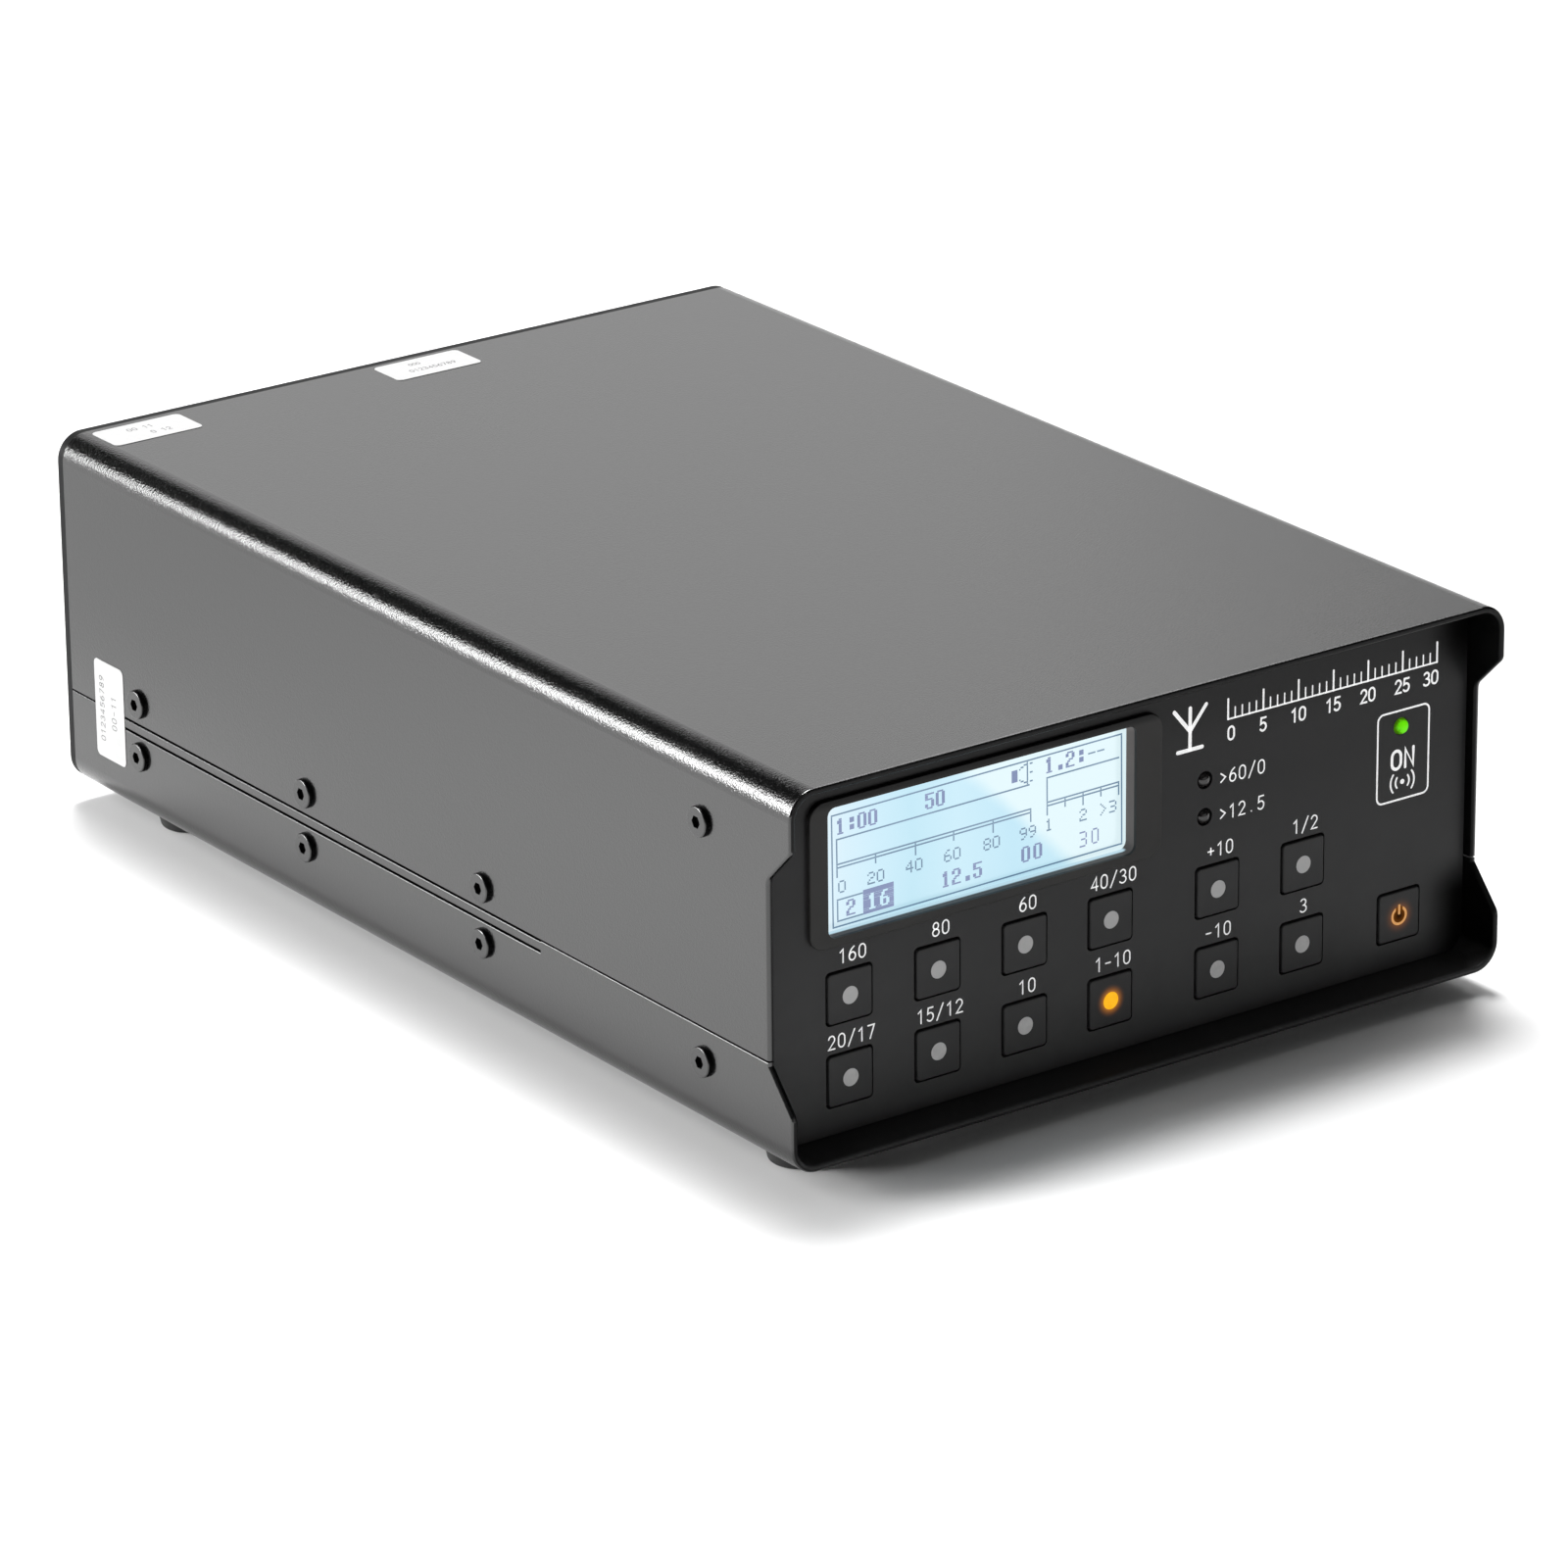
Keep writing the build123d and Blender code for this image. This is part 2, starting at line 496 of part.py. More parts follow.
# ============================================================ spacers and board screws
PA_SCREWS = [(sx * 56, 159.5 + sy * 43) for sx in (-1, 1) for sy in (-1, 1)]
FB_SCREWS = [(sx * (FB_W - 8) / 2, FB_CY + sy * (FB_L - 8) / 2) for sx in (-1, 1) for sy in (-1, 1)]
with BuildPart() as board_spacers:
    with BuildSketch(facing(BOARD_Y)):
        with Locations(*[(x, zz(z)) for x, z in SPACERS_FRONT]):
            RegularPolygon(2.9, 6)
            Circle(M3_R + 0.02, mode=Mode.SUBTRACT)
    extrude(amount=BOARD_Y - PANEL_Y - PANEL_T)
    with BuildSketch(level(PA_Z1)):
        with Locations(*[(x, yy(y)) for x, y in PA_SCREWS]):
            Circle(3.0)
            Circle(M3_R + 0.02, mode=Mode.SUBTRACT)
    extrude(amount=SINK_BASE_Z0 - PA_Z1)
    with BuildSketch(level(SHEET)):
        with Locations(*[(x, yy(y)) for x, y in FB_SCREWS]):
            Circle(3.0)
            Circle(M3_R + 0.02, mode=Mode.SUBTRACT)
    extrude(amount=FB_Z0 - SHEET)
save(board_spacers, "board_spacers")

with BuildPart() as board_screws:
    with BuildSketch(facing(BOARD_Y + BOARD_T)):
        with Locations(*[(x, zz(z)) for x, z in SPACERS_FRONT]):
            Circle(2.75)
    extrude(amount=-1.8)
    with BuildSketch(facing(BOARD_Y + BOARD_T)):
        with Locations(*[(x, zz(z)) for x, z in SPACERS_FRONT]):
            Circle(M3_R)
    extrude(amount=5.0)
    with BuildSketch(level(PA_Z0)):
        with Locations(*[(x, yy(y)) for x, y in PA_SCREWS]):
            Circle(2.75)
    extrude(amount=-1.8)
    with BuildSketch(level(PA_Z0)):
        with Locations(*[(x, yy(y)) for x, y in PA_SCREWS]):
            Circle(M3_R)
    extrude(amount=7.0)
    with BuildSketch(level(FB_Z1)):
        with Locations(*[(x, yy(y)) for x, y in FB_SCREWS]):
            Circle(2.75)
    extrude(amount=1.8)
    with BuildSketch(level(FB_Z1)):
        with Locations(*[(x, yy(y)) for x, y in FB_SCREWS]):
            Circle(M3_R)
    extrude(amount=-5.0)
save(board_screws, "board_screws")

# ============================================================ rear plate
REAR_IN = CASE_D - REAR_T
with BuildPart() as rear_panel:
    with BuildSketch(facing(CASE_D)):
        with Locations((0, zz(CASE_H / 2))):
            RectangleRounded(CASE_W - 0.1, CASE_H - 0.1, BEND_R)
        with Locations(*[(x, zz(FAN_Z)) for x in FAN_X]):
            Circle(FAN_BORE_R, mode=Mode.SUBTRACT)
            with GridLocations(FAN_PITCH, FAN_PITCH, 2, 2):
                Circle(1.7, mode=Mode.SUBTRACT)
        with Locations(*[(COAX_X, zz(z)) for z in COAX_Z]):
            Circle(7.75, mode=Mode.SUBTRACT)
            with GridLocations(COAX_PITCH, COAX_PITCH, 2, 2):
                Circle(M3_R + 0.02, mode=Mode.SUBTRACT)
        with Locations((DC_X, zz(DC_Z))):
            Rectangle(24.2, 12.2, mode=Mode.SUBTRACT)
        with Locations(*[(x, zz(JACK_Z)) for x in JACK_X]):
            Circle(4.05, mode=Mode.SUBTRACT)
        with Locations((GROUND_X, zz(GROUND_Z))):
            Circle(2.3, mode=Mode.SUBTRACT)
        with Locations(*[(x, zz(z)) for x, z in REAR_SCREWS]):
            Circle(M3_R + 0.2, mode=Mode.SUBTRACT)
    extrude(amount=REAR_T)
    outline = [e for e in rear_panel.faces().sort_by(Axis.Y)[-1].outer_wire().edges()]
    fillet(outline, 0.35)
save(rear_panel, "rear_panel")

# ============================================================ fans
FAN_Y1 = REAR_IN - 0.05
FAN_Y0 = FAN_Y1 - FAN_T
with BuildPart() as fan_frames:
    for x in FAN_X:
        with BuildSketch(facing(FAN_Y0)):
            with Locations((x, zz(FAN_Z))):
                RectangleRounded(FAN, FAN, 2.5)
                Circle(FAN_BORE_R - 0.2, mode=Mode.SUBTRACT)
                with GridLocations(FAN_PITCH, FAN_PITCH, 2, 2):
                    Circle(1.7, mode=Mode.SUBTRACT)
        extrude(amount=-FAN_T)
        # motor seat on three spokes, at the outlet side
        with BuildSketch(facing(FAN_Y1 - 1.8)):
            with Locations((x, zz(FAN_Z))):
                Circle(8.6)
                with PolarLocations(13.6, 3, start_angle=90):
                    Rectangle(11.4, 2.4)
        extrude(amount=-1.8)
        # bearing tube
        with BuildSketch(facing(FAN_Y0 + 2.6)):
            with Locations((x, zz(FAN_Z))):
                Circle(2.6)
        extrude(amount=-(FAN_T - 3.0))
        with BuildSketch(facing(FAN_Y0)):
            with Locations((x, zz(FAN_Z))):
                Circle(1.05)
        extrude(amount=-(FAN_T - 1.0), mode=Mode.SUBTRACT)
save(fan_frames, "fan_frames")

for name, x in (("fan_rotor_left", FAN_X[0]), ("fan_rotor_right", FAN_X[1])):
    axis_origin = (x, yy(FAN_Y0), zz(FAN_Z))
    with BuildPart() as rotor:
        # hub cup with the shaft inside
        with BuildSketch(Plane(origin=axis_origin, x_dir=(1, 0, 0), z_dir=(0, 0, 1))):
            with BuildLine():
                Polyline((0, 0.7), (8.4, 0.7), (9.0, 1.3), (9.0, 7.6), (7.9, 7.6), (7.9, 1.9), (1.0, 1.9), (1.0, 8.6), (0, 8.6), close=True)
            make_face()
        revolve(axis=Axis(axis_origin, (0, 1, 0)))
        # seven pitched blades
        for i in range(7):
            a = math.radians(90 + i * 360 / 7)
            radial = Vector(math.cos(a), 0, math.sin(a))
            tangent = Vector(-math.sin(a), 0, math.cos(a))
            pitch = math.radians(38)
            chord = tangent * math.cos(pitch) + Vector(0, 1, 0) * math.sin(pitch)
            root_plane = Plane(origin=Vector(*axis_origin) + Vector(0, 4.3, 0) + radial * 8.6, x_dir=chord, z_dir=radial)
            with BuildSketch(root_plane):
                with BuildLine():
                    Spline((-4.1, -0.5), (0, 0.62), (4.1, -0.5))
                    Spline((4.1, -0.5), (0, -0.28), (-4.1, -0.5))
                make_face()
            extrude(amount=9.4)
        with BuildSketch(facing(FAN_Y0 - 1)):
            with Locations((x, zz(FAN_Z))):
                Circle(18.1)
        extrude(amount=-12, mode=Mode.INTERSECT)
    save(rotor, name)

# wire finger guards outside the rear plate
GUARD_WIRE = 0.8
with BuildPart() as fan_guards:
    for x in FAN_X:
        centre = (x, yy(CASE_D + GUARD_WIRE + 1.2), zz(FAN_Z))
        ring_plane = Plane(origin=centre, x_dir=(1, 0, 0), z_dir=(0, -1, 0))
        for r in (5.0, 9.5, 14.0, 18.5):
            with BuildSketch(Plane(origin=centre, x_dir=(1, 0, 0), z_dir=(0, 0, 1))):
                with Locations((r, 0)):
                    Circle(GUARD_WIRE)
            revolve(axis=Axis(centre, (0, 1, 0)))
        # four arms from the inner ring to the screw eyes
        for k in range(4):
            a = math.radians(45 + 90 * k)
            d = Vector(math.cos(a), 0, math.sin(a))
            with BuildSketch(Plane(origin=Vector(*centre) + Vector(0, -0.6, 0) + d * 4.6, x_dir=(0, 1, 0), z_dir=d)):
                Circle(GUARD_WIRE)
            extrude(amount=15.1)
        with BuildSketch(facing(CASE_D + 0.05)):
            with Locations((x, zz(FAN_Z))):
                with GridLocations(FAN_PITCH, FAN_PITCH, 2, 2):
                    Circle(3.1)
                    Circle(1.7, mode=Mode.SUBTRACT)
        extrude(amount=-1.7)
save(fan_guards, "fan_guards")

with BuildPart() as fan_screws:
    for x in FAN_X:
        with BuildSketch(facing(CASE_D + 1.8)):
            with Locations((x, zz(FAN_Z))):
                with GridLocations(FAN_PITCH, FAN_PITCH, 2, 2):
                    Circle(2.75)
        extrude(amount=-1.8)
        with BuildSketch(facing(CASE_D + 1.8)):
            with Locations((x, zz(FAN_Z))):
                with GridLocations(FAN_PITCH, FAN_PITCH, 2, 2):
                    Circle(M3_R)
        extrude(amount=12.4)
    heads = [e for e in fan_screws.faces().filter_by(Axis.Y).group_by(Axis.Y)[-1].edges()]
    fillet(heads, 0.5)
    # cross recess
    for x in FAN_X:
        with BuildSketch(facing(CASE_D + 2.6)):
            with Locations((x, zz(FAN_Z))):
                with GridLocations(FAN_PITCH, FAN_PITCH, 2, 2):
                    Rectangle(2.8, 0.6)
                    Rectangle(0.6, 2.8)
        extrude(amount=-2, mode=Mode.SUBTRACT)
save(fan_screws, "fan_screws")

# ============================================================ coaxial sockets
BARREL_Y0, BARREL_Y1 = CASE_D + 2.0, CASE_D + REAR_REACH
with BuildPart() as coax_shells:
    for z in COAX_Z:
        with BuildSketch(facing(CASE_D + 0.02)):
            with Locations((COAX_X, zz(z))):
                RectangleRounded(COAX_FLANGE, COAX_FLANGE, 2.0)
                Circle(6.9, mode=Mode.SUBTRACT)
                with GridLocations(COAX_PITCH, COAX_PITCH, 2, 2):
                    Circle(M3_R + 0.2, mode=Mode.SUBTRACT)
        extrude(amount=-2.0)
        with BuildSketch(Plane(origin=(COAX_X, yy(0), zz(z)), x_dir=(1, 0, 0), z_dir=(0, 0, 1))):
            with BuildLine():
                pts = [(6.3, 219.0), (7.6, 219.0), (7.6, 227.0), (COAX_THREAD_R, 227.0), (COAX_THREAD_R, 229.0)]
                # 24 turns to the inch, drawn as separate grooves
                y = 229.0
                while y + 1.06 < BARREL_Y1 - 1.0:
                    pts += [(COAX_THREAD_R, y + 0.42), (COAX_THREAD_R - 0.42, y + 0.66), (COAX_THREAD_R - 0.42, y + 0.82), (COAX_THREAD_R, y + 1.06)]
                    y += 1.06
                pts += [(COAX_THREAD_R, BARREL_Y1 - 0.5), (COAX_THREAD_R - 0.5, BARREL_Y1), (6.3, BARREL_Y1)]
                Polyline(*pts, close=True)
            make_face()
        revolve(axis=Axis((COAX_X, yy(0), zz(z)), (0, 1, 0)))
save(coax_shells, "coax_shells")

with BuildPart() as coax_insulators:
    for z in COAX_Z:
        with BuildSketch(Plane(origin=(COAX_X, yy(0), zz(z)), x_dir=(1, 0, 0), z_dir=(0, 0, 1))):
            with BuildLine():
                Polyline((2.73, 217.5), (5.0, 217.5), (5.0, 219.5), (6.28, 219.5), (6.28, 239.6), (5.4, 239.6), (5.4, 238.4), (3.6, 238.4), (3.6, 239.6), (2.73, 239.6), close=True)
            make_face()
        revolve(axis=Axis((COAX_X, yy(0), zz(z)), (0, 1, 0)))
save(coax_insulators, "coax_insulators")

with BuildPart() as socket_contacts:
    for z in COAX_Z:
        with BuildSketch(Plane(origin=(COAX_X, yy(0), zz(z)), x_dir=(1, 0, 0), z_dir=(0, 0, 1))):
            with BuildLine():
                Polyline((0, 213.0), (1.6, 213.0), (1.6, 216.5), (2.7, 216.5), (2.7, 239.9), (2.0, 239.9), (2.0, 227.9), (0, 227.9), close=True)
            make_face()
        revolve(axis=Axis((COAX_X, yy(0), zz(z)), (0, 1, 0)))
    # blades of the supply socket
    with BuildSketch(facing(CASE_D + 1.5)):
        with Locations((DC_X - 6.2, zz(DC_Z)), (DC_X + 6.2, zz(DC_Z))):
            Rectangle(1.0, 6.3)
    extrude(amount=17.0)
save(socket_contacts, "socket_contacts")

# ============================================================ supply socket
with BuildPart() as dc_socket:
    with BuildSketch(facing(CASE_D + 0.02)):
        with Locations((DC_X, zz(DC_Z))):
            RectangleRounded(29.0, 15.4, 1.6)
    extrude(amount=-4.0)
    fillet(dc_socket.faces().sort_by(Axis.Y)[-1].edges(), 0.5)
    with BuildSketch(facing(CASE_D + 0.1)):
        with Locations((DC_X, zz(DC_Z))):
            Rectangle(24.0, 12.0)
    extrude(amount=14.6)
    with BuildSketch(facing(CASE_D + 5)):
        with Locations((DC_X, zz(DC_Z))):
            RectangleRounded(21.6, 9.8, 1.0)
    extrude(amount=15.0, mode=Mode.SUBTRACT)
    # slots that the blades pass through
    with BuildSketch(facing(CASE_D + 1)):
        with Locations((DC_X - 6.2, zz(DC_Z)), (DC_X + 6.2, zz(DC_Z))):
            Rectangle(1.04, 6.34)
    extrude(amount=18.0, mode=Mode.SUBTRACT)
save(dc_socket, "dc_socket")

# ============================================================ control jacks
with BuildPart() as control_jacks:
    for x in JACK_X:
        with BuildSketch(facing(REAR_IN - 0.05)):
            with Locations((x, zz(JACK_Z))):
                Rectangle(9.0, 10.6)
        extrude(amount=10.5)
        with BuildSketch(facing(REAR_IN - 0.1)):
            with Locations((x, zz(JACK_Z))):
                Circle(3.95)
        extrude(amount=-(REAR_T + 0.1 + 2.4))
        with BuildSketch(facing(CASE_D + 5)):
            with Locations((x, zz(JACK_Z))):
                Circle(1.8)
        extrude(amount=16.0, mode=Mode.SUBTRACT)
save(control_jacks, "control_jacks")

# ============================================================ ground stud with washer and two nuts
with BuildPart() as ground_stud:
    with BuildSketch(facing(REAR_IN - 2.6)):
        with Locations((GROUND_X, zz(GROUND_Z))):
            RegularPolygon(3.5, 6, major_radius=False)
    extrude(amount=-2.5)
    # through the plate and the nut, at the root size of the thread
    with BuildSketch(facing(REAR_IN - 2.5)):
        with Locations((GROUND_X, zz(GROUND_Z))):
            Circle(1.65)
    extrude(amount=-8.6)
    # free end that a ring terminal goes over
    with BuildSketch(facing(CASE_D + 4.1)):
        with Locations((GROUND_X, zz(GROUND_Z))):
            Circle(2.0)
    extrude(amount=-8.9)
    chamfer(ground_stud.faces().sort_by(Axis.Y)[-1].edges(), 0.4)
with BuildPart() as ground_hardware:
    with BuildSketch(facing(CASE_D + 0.02)):
        with Locations((GROUND_X, zz(GROUND_Z))):
            Circle(4.5)
            Circle(2.25, mode=Mode.SUBTRACT)
    extrude(amount=-0.8)
with BuildPart() as ground_nut:
    with BuildSketch(facing(CASE_D + 0.86)):
        with Locations((GROUND_X, zz(GROUND_Z))):
            RegularPolygon(3.5, 6, major_radius=False)
            Circle(1.68, mode=Mode.SUBTRACT)
    extrude(amount=-3.2)
ground_set = Compound(children=[ground_stud.part.solids()[0], ground_hardware.part.solids()[0], ground_nut.part.solids()[0]])
ground_set.label = "ground_stud"
export_step(ground_set, "parts/ground_stud.step")

# ============================================================ case screws: M3 with hexagon socket
SIDE_SCREWS = [(FRONT_SCREW_Y, FRONT_SCREW_Z[0]), (FRONT_SCREW_Y, FRONT_SCREW_Z[1])]
SIDE_SCREWS += [(y, z) for y in SIDE_ROW_Y for z in (UPPER_ROW_Z, LOWER_ROW_Z)]
REAR_HEADS = [(x, z, CASE_D) for x, z in REAR_SCREWS]
REAR_HEADS += [(COAX_X + sx * COAX_PITCH / 2, z + sz * COAX_PITCH / 2, CASE_D + 2.02) for z in COAX_Z for sx in (-1, 1) for sz in (-1, 1)]


with BuildPart() as case_screws:
    planes = []
    for sx in (-1, 1):
        for y, z in SIDE_SCREWS:
            planes.append((Plane(origin=(sx * (CASE_W / 2 + 0.01), yy(y), zz(z)), x_dir=(0, 1, 0), z_dir=(sx, 0, 0)), 6.6))
    for x, z, d in REAR_HEADS:
        planes.append((Plane(origin=(x, yy(d + 0.01), zz(z)), x_dir=(1, 0, 0), z_dir=(0, 1, 0)), 8.0 if d == CASE_D else 3.9))
    for plane, reach in planes:
        with BuildSketch(plane):
            Circle(M3_HEAD_R)
        extrude(amount=M3_HEAD_H, taper=3)
        with BuildSketch(plane):
            Circle(M3_R)
        extrude(amount=-reach)
    tops = [f for f in case_screws.faces().filter_by(GeomType.PLANE) if f.area > 15]
    rims = ShapeList()
    for plane, reach in planes:
        top = plane.origin + plane.z_dir * M3_HEAD_H
        for f in tops:
            if (f.center() - top).length < 0.05:
                rims += f.edges()
    fillet(rims, 0.25)
    for plane, reach in planes:
        with BuildSketch(plane.offset(M3_HEAD_H - 0.8)):
            RegularPolygon(M3_HEX / 2, 6, major_radius=False)
        extrude(amount=2, mode=Mode.SUBTRACT)
save(case_screws, "case_screws")

# ============================================================ feet: pushed through the floor
with BuildPart() as feet:
    for sx in (-1, 1):
        for y in FOOT_Y:
            with BuildSketch(Plane(origin=(sx * FOOT_X, yy(y), 0), x_dir=(1, 0, 0), z_dir=(0, -1, 0))):
                with BuildLine():
                    Polyline((0, 0), (FOOT_R - 1.9, 0))
                    ThreePointArc((FOOT_R - 1.9, 0), (FOOT_R - 1.15, 0.32), (FOOT_R - 0.85, 1.1))
                    Polyline((FOOT_R - 0.85, 1.1), (FOOT_R, FOOT_H - 0.02), (1.95, FOOT_H - 0.02), (1.95, FOOT_H + SHEET + 0.05),
                             (2.7, FOOT_H + SHEET + 0.05), (1.6, FOOT_H + SHEET + 2.2), (0, FOOT_H + SHEET + 2.2), (0, 0))
                make_face()
            revolve(axis=Axis((sx * FOOT_X, yy(y), 0), (0, 0, 1)))
save(feet, "feet")

# ============================================================ blank stickers
LABEL_T = 0.08
with BuildPart() as blank_labels:
    with BuildSketch(Plane.XY.offset(FOOT_H + CASE_H + 0.002)):
        with Locations((-60.6, yy(217.9)), (0.3, yy(218.2))):
            RectangleRounded(18.5, 9.1, 1.1)
    extrude(amount=LABEL_T)
    with BuildSketch(side(-CASE_W / 2 - 0.002)):
        with Locations((yy(210.8), zz(17.9))):
            RectangleRounded(9.9, 18.7, 1.1)
    extrude(amount=-LABEL_T)
save(blank_labels, "blank_labels")

# ============================================================ leads held inside the case
with BuildPart() as internal_leads:
    routes = []
    for dx in (-6.2, 6.2):      # supply leads to the amplifier board
        routes.append(([(DC_X + dx, 210.4, 10.8), (DC_X + dx, 208.8, 10.7), (DC_X + dx * 0.72, 204.2, 9.6), (DC_X + dx * 0.7, 199.5, 8.4), (DC_X + dx * 0.68, 193.5, 7.7),
                        (DC_X + dx * 0.66, 186.5, 7.5), (DC_X + dx * 0.66, 186.4, 12.9)], 1.1, 2.4))
    for path, r, bend in routes:
        pts = [(x, yy(y), zz(z)) for x, y, z in path]
        with BuildLine() as wire:
            FilletPolyline(*pts, radius=bend)
        with BuildSketch(Plane(origin=wire.line @ 0, z_dir=wire.line % 0)):
            Circle(r)
        sweep(path=wire.line)
save(internal_leads, "internal_leads")

print("case", CASE_W, CASE_D, CASE_H, "front rim at Y", Y_FRONT)
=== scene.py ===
"""Looks of the HF linear amplifier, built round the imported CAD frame.  Metres, +Z up, key panel faces -Y."""

import math

import bpy
import bmesh
from mathutils import Matrix, Vector


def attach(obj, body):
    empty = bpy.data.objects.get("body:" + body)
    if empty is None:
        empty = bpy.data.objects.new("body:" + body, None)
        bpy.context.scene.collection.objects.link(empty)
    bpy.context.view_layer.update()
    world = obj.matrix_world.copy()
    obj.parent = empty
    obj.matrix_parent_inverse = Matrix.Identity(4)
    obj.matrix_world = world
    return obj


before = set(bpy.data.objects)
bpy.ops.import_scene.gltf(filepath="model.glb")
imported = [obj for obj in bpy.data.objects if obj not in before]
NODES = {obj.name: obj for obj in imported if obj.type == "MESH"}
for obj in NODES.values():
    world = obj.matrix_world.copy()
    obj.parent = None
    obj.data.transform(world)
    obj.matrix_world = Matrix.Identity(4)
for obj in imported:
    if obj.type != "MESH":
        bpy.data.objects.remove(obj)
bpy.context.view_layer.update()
scene = bpy.context.scene
scene.view_settings.view_transform = "Standard"
scene.view_settings.look = "None"

# ------------------------------------------------------------------ the CAD's own measures, in mm
Y_FRONT, FOOT_H = -121.0, 4.0
CASE_W, CASE_D, CASE_H = 150.0, 226.0, 67.0
PANEL_Y, LCD_Y = 8.2, 10.1
WIN_X0, WIN_X1, WIN_Z0, WIN_Z1, WIN_R = -62.2, 1.2, 36.5, 59.3, 1.5
LEFT_KEYS_X = (-57.5, -39.5, -21.5, -3.5)
RIGHT_KEYS_X = (19.3, 37.8)
POWER_X = 59.2
ROW_Z = (25.5, 10.9)
KEY_FACE = PANEL_Y - 0.35


def at(x, depth, height):
    """Millimetres across, behind the front rim and above the case bottom -> metres in the row frame."""
    return Vector((x / 1000, (Y_FRONT + depth) / 1000, (FOOT_H + height) / 1000))


# ------------------------------------------------------------------ material tools
class Shade:
    """A material with one principled shader, fed by patterns in object space."""

    def __init__(self, name, **sockets):
        self.m = bpy.data.materials.new(name)
        self.m.use_nodes = True
        self.nt = self.m.node_tree
        self.nt.nodes.clear()
        self.out = self.nt.nodes.new("ShaderNodeOutputMaterial")
        self.b = self.nt.nodes.new("ShaderNodeBsdfPrincipled")
        self.nt.links.new(self.b.outputs["BSDF"], self.out.inputs["Surface"])
        self.tc = self.nt.nodes.new("ShaderNodeTexCoord")
        self.obj = self.tc.outputs["Object"]
        for k, v in sockets.items():
            self.set(k, v)

    def set(self, key, value):
        s = self.b.inputs[key.replace("_", " ")]
        if s.type == "RGBA" and len(value) == 3:
            value = (*value, 1.0)
        s.default_value = value
        return self

    def node(self, kind, **props):
        n = self.nt.nodes.new(kind)
        for k, v in props.items():
            setattr(n, k, v)
        return n

    def link(self, a, b):
        self.nt.links.new(a, b)

    def mapped(self, scale=(1, 1, 1), rotation=(0, 0, 0), location=(0, 0, 0)):
        n = self.node("ShaderNodeMapping")
        n.inputs["Scale"].default_value = scale
        n.inputs["Rotation"].default_value = rotation
        n.inputs["Location"].default_value = location
        self.link(self.obj, n.inputs["Vector"])
        return n.outputs["Vector"]

    def noise(self, scale, detail=2.0, rough=0.5, vector=None):
        n = self.node("ShaderNodeTexNoise")
        n.inputs["Scale"].default_value = scale
        n.inputs["Detail"].default_value = detail
        n.inputs["Roughness"].default_value = rough
        self.link(vector or self.obj, n.inputs["Vector"])
        return n.outputs["Fac"]

    def voronoi(self, scale, feature="F1", vector=None, out="Distance"):
        n = self.node("ShaderNodeTexVoronoi", feature=feature)
        n.inputs["Scale"].default_value = scale
        self.link(vector or self.obj, n.inputs["Vector"])
        return n.outputs[out]

    def remap(self, value, a, b, lo, hi, smooth=False):
        n = self.node("ShaderNodeMapRange")
        if smooth:
            n.interpolation_type = "SMOOTHSTEP"
        for key, v in (("From Min", a), ("From Max", b), ("To Min", lo), ("To Max", hi)):
            n.inputs[key].default_value = v
        self.link(value, n.inputs["Value"])
        return n.outputs["Result"]

    def math(self, op, a, b=None):
        n = self.node("ShaderNodeMath", operation=op)
        for i, v in enumerate((a, b)):
            if v is None:
                continue
            if isinstance(v, (int, float)):
                n.inputs[i].default_value = v
            else:
                self.link(v, n.inputs[i])
        return n.outputs[0]

    def ramp(self, value, *stops):
        n = self.node("ShaderNodeValToRGB")
        cr = n.color_ramp
        while len(cr.elements) < len(stops):
            cr.elements.new(0.5)
        for e, (pos, col) in zip(cr.elements, stops):
            e.position = pos
            e.color = (*col, 1.0) if len(col) == 3 else col
        self.link(value, n.inputs["Fac"])
        return n.outputs["Color"]

    def mix(self, fac, a, b):
        n = self.node("ShaderNodeMix", data_type="RGBA")
        for sock, v in ((n.inputs[0], fac), (n.inputs[6], a), (n.inputs[7], b)):
            if isinstance(v, (tuple, list)):
                sock.default_value = (*v, 1.0) if len(v) == 3 else v
            elif isinstance(v, (int, float)):
                sock.default_value = v
            else:
                self.link(v, sock)
        return n.outputs[2]

    def color(self, c):
        self.link(c, self.b.inputs["Base Color"])
        return self

    def rough(self, v):
        self.link(v, self.b.inputs["Roughness"])
        return self

    def bump(self, height, depth, strength=1.0):
        n = self.node("ShaderNodeBump")
        n.inputs["Strength"].default_value = strength
        n.inputs["Distance"].default_value = depth
        self.link(height, n.inputs["Height"])
        if self.b.inputs["Normal"].is_linked:
            self.link(self.b.inputs["Normal"].links[0].from_socket, n.inputs["Normal"])
        self.link(n.outputs["Normal"], self.b.inputs["Normal"])
        return self

    def xyz(self):
        n = self.node("ShaderNodeSeparateXYZ")
        self.link(self.obj, n.inputs[0])
        return n.outputs


def mottled(name, dark, light, roughness, spread=0.05, grain=1800.0, depth=0.00002, patch=60.0, **sockets):
    """A moulded or painted surface: a little uneven in colour and gloss, with a fine grain."""
    s = Shade(name, **sockets)
    s.color(s.ramp(s.noise(patch, 4.0, 0.6), (0.3, dark), (0.7, light)))
    s.rough(s.remap(s.noise(patch * 4, 3.0), 0.3, 0.7, roughness - spread, roughness + spread))
    s.bump(s.noise(grain, 2.0, 0.6), depth)
    return s


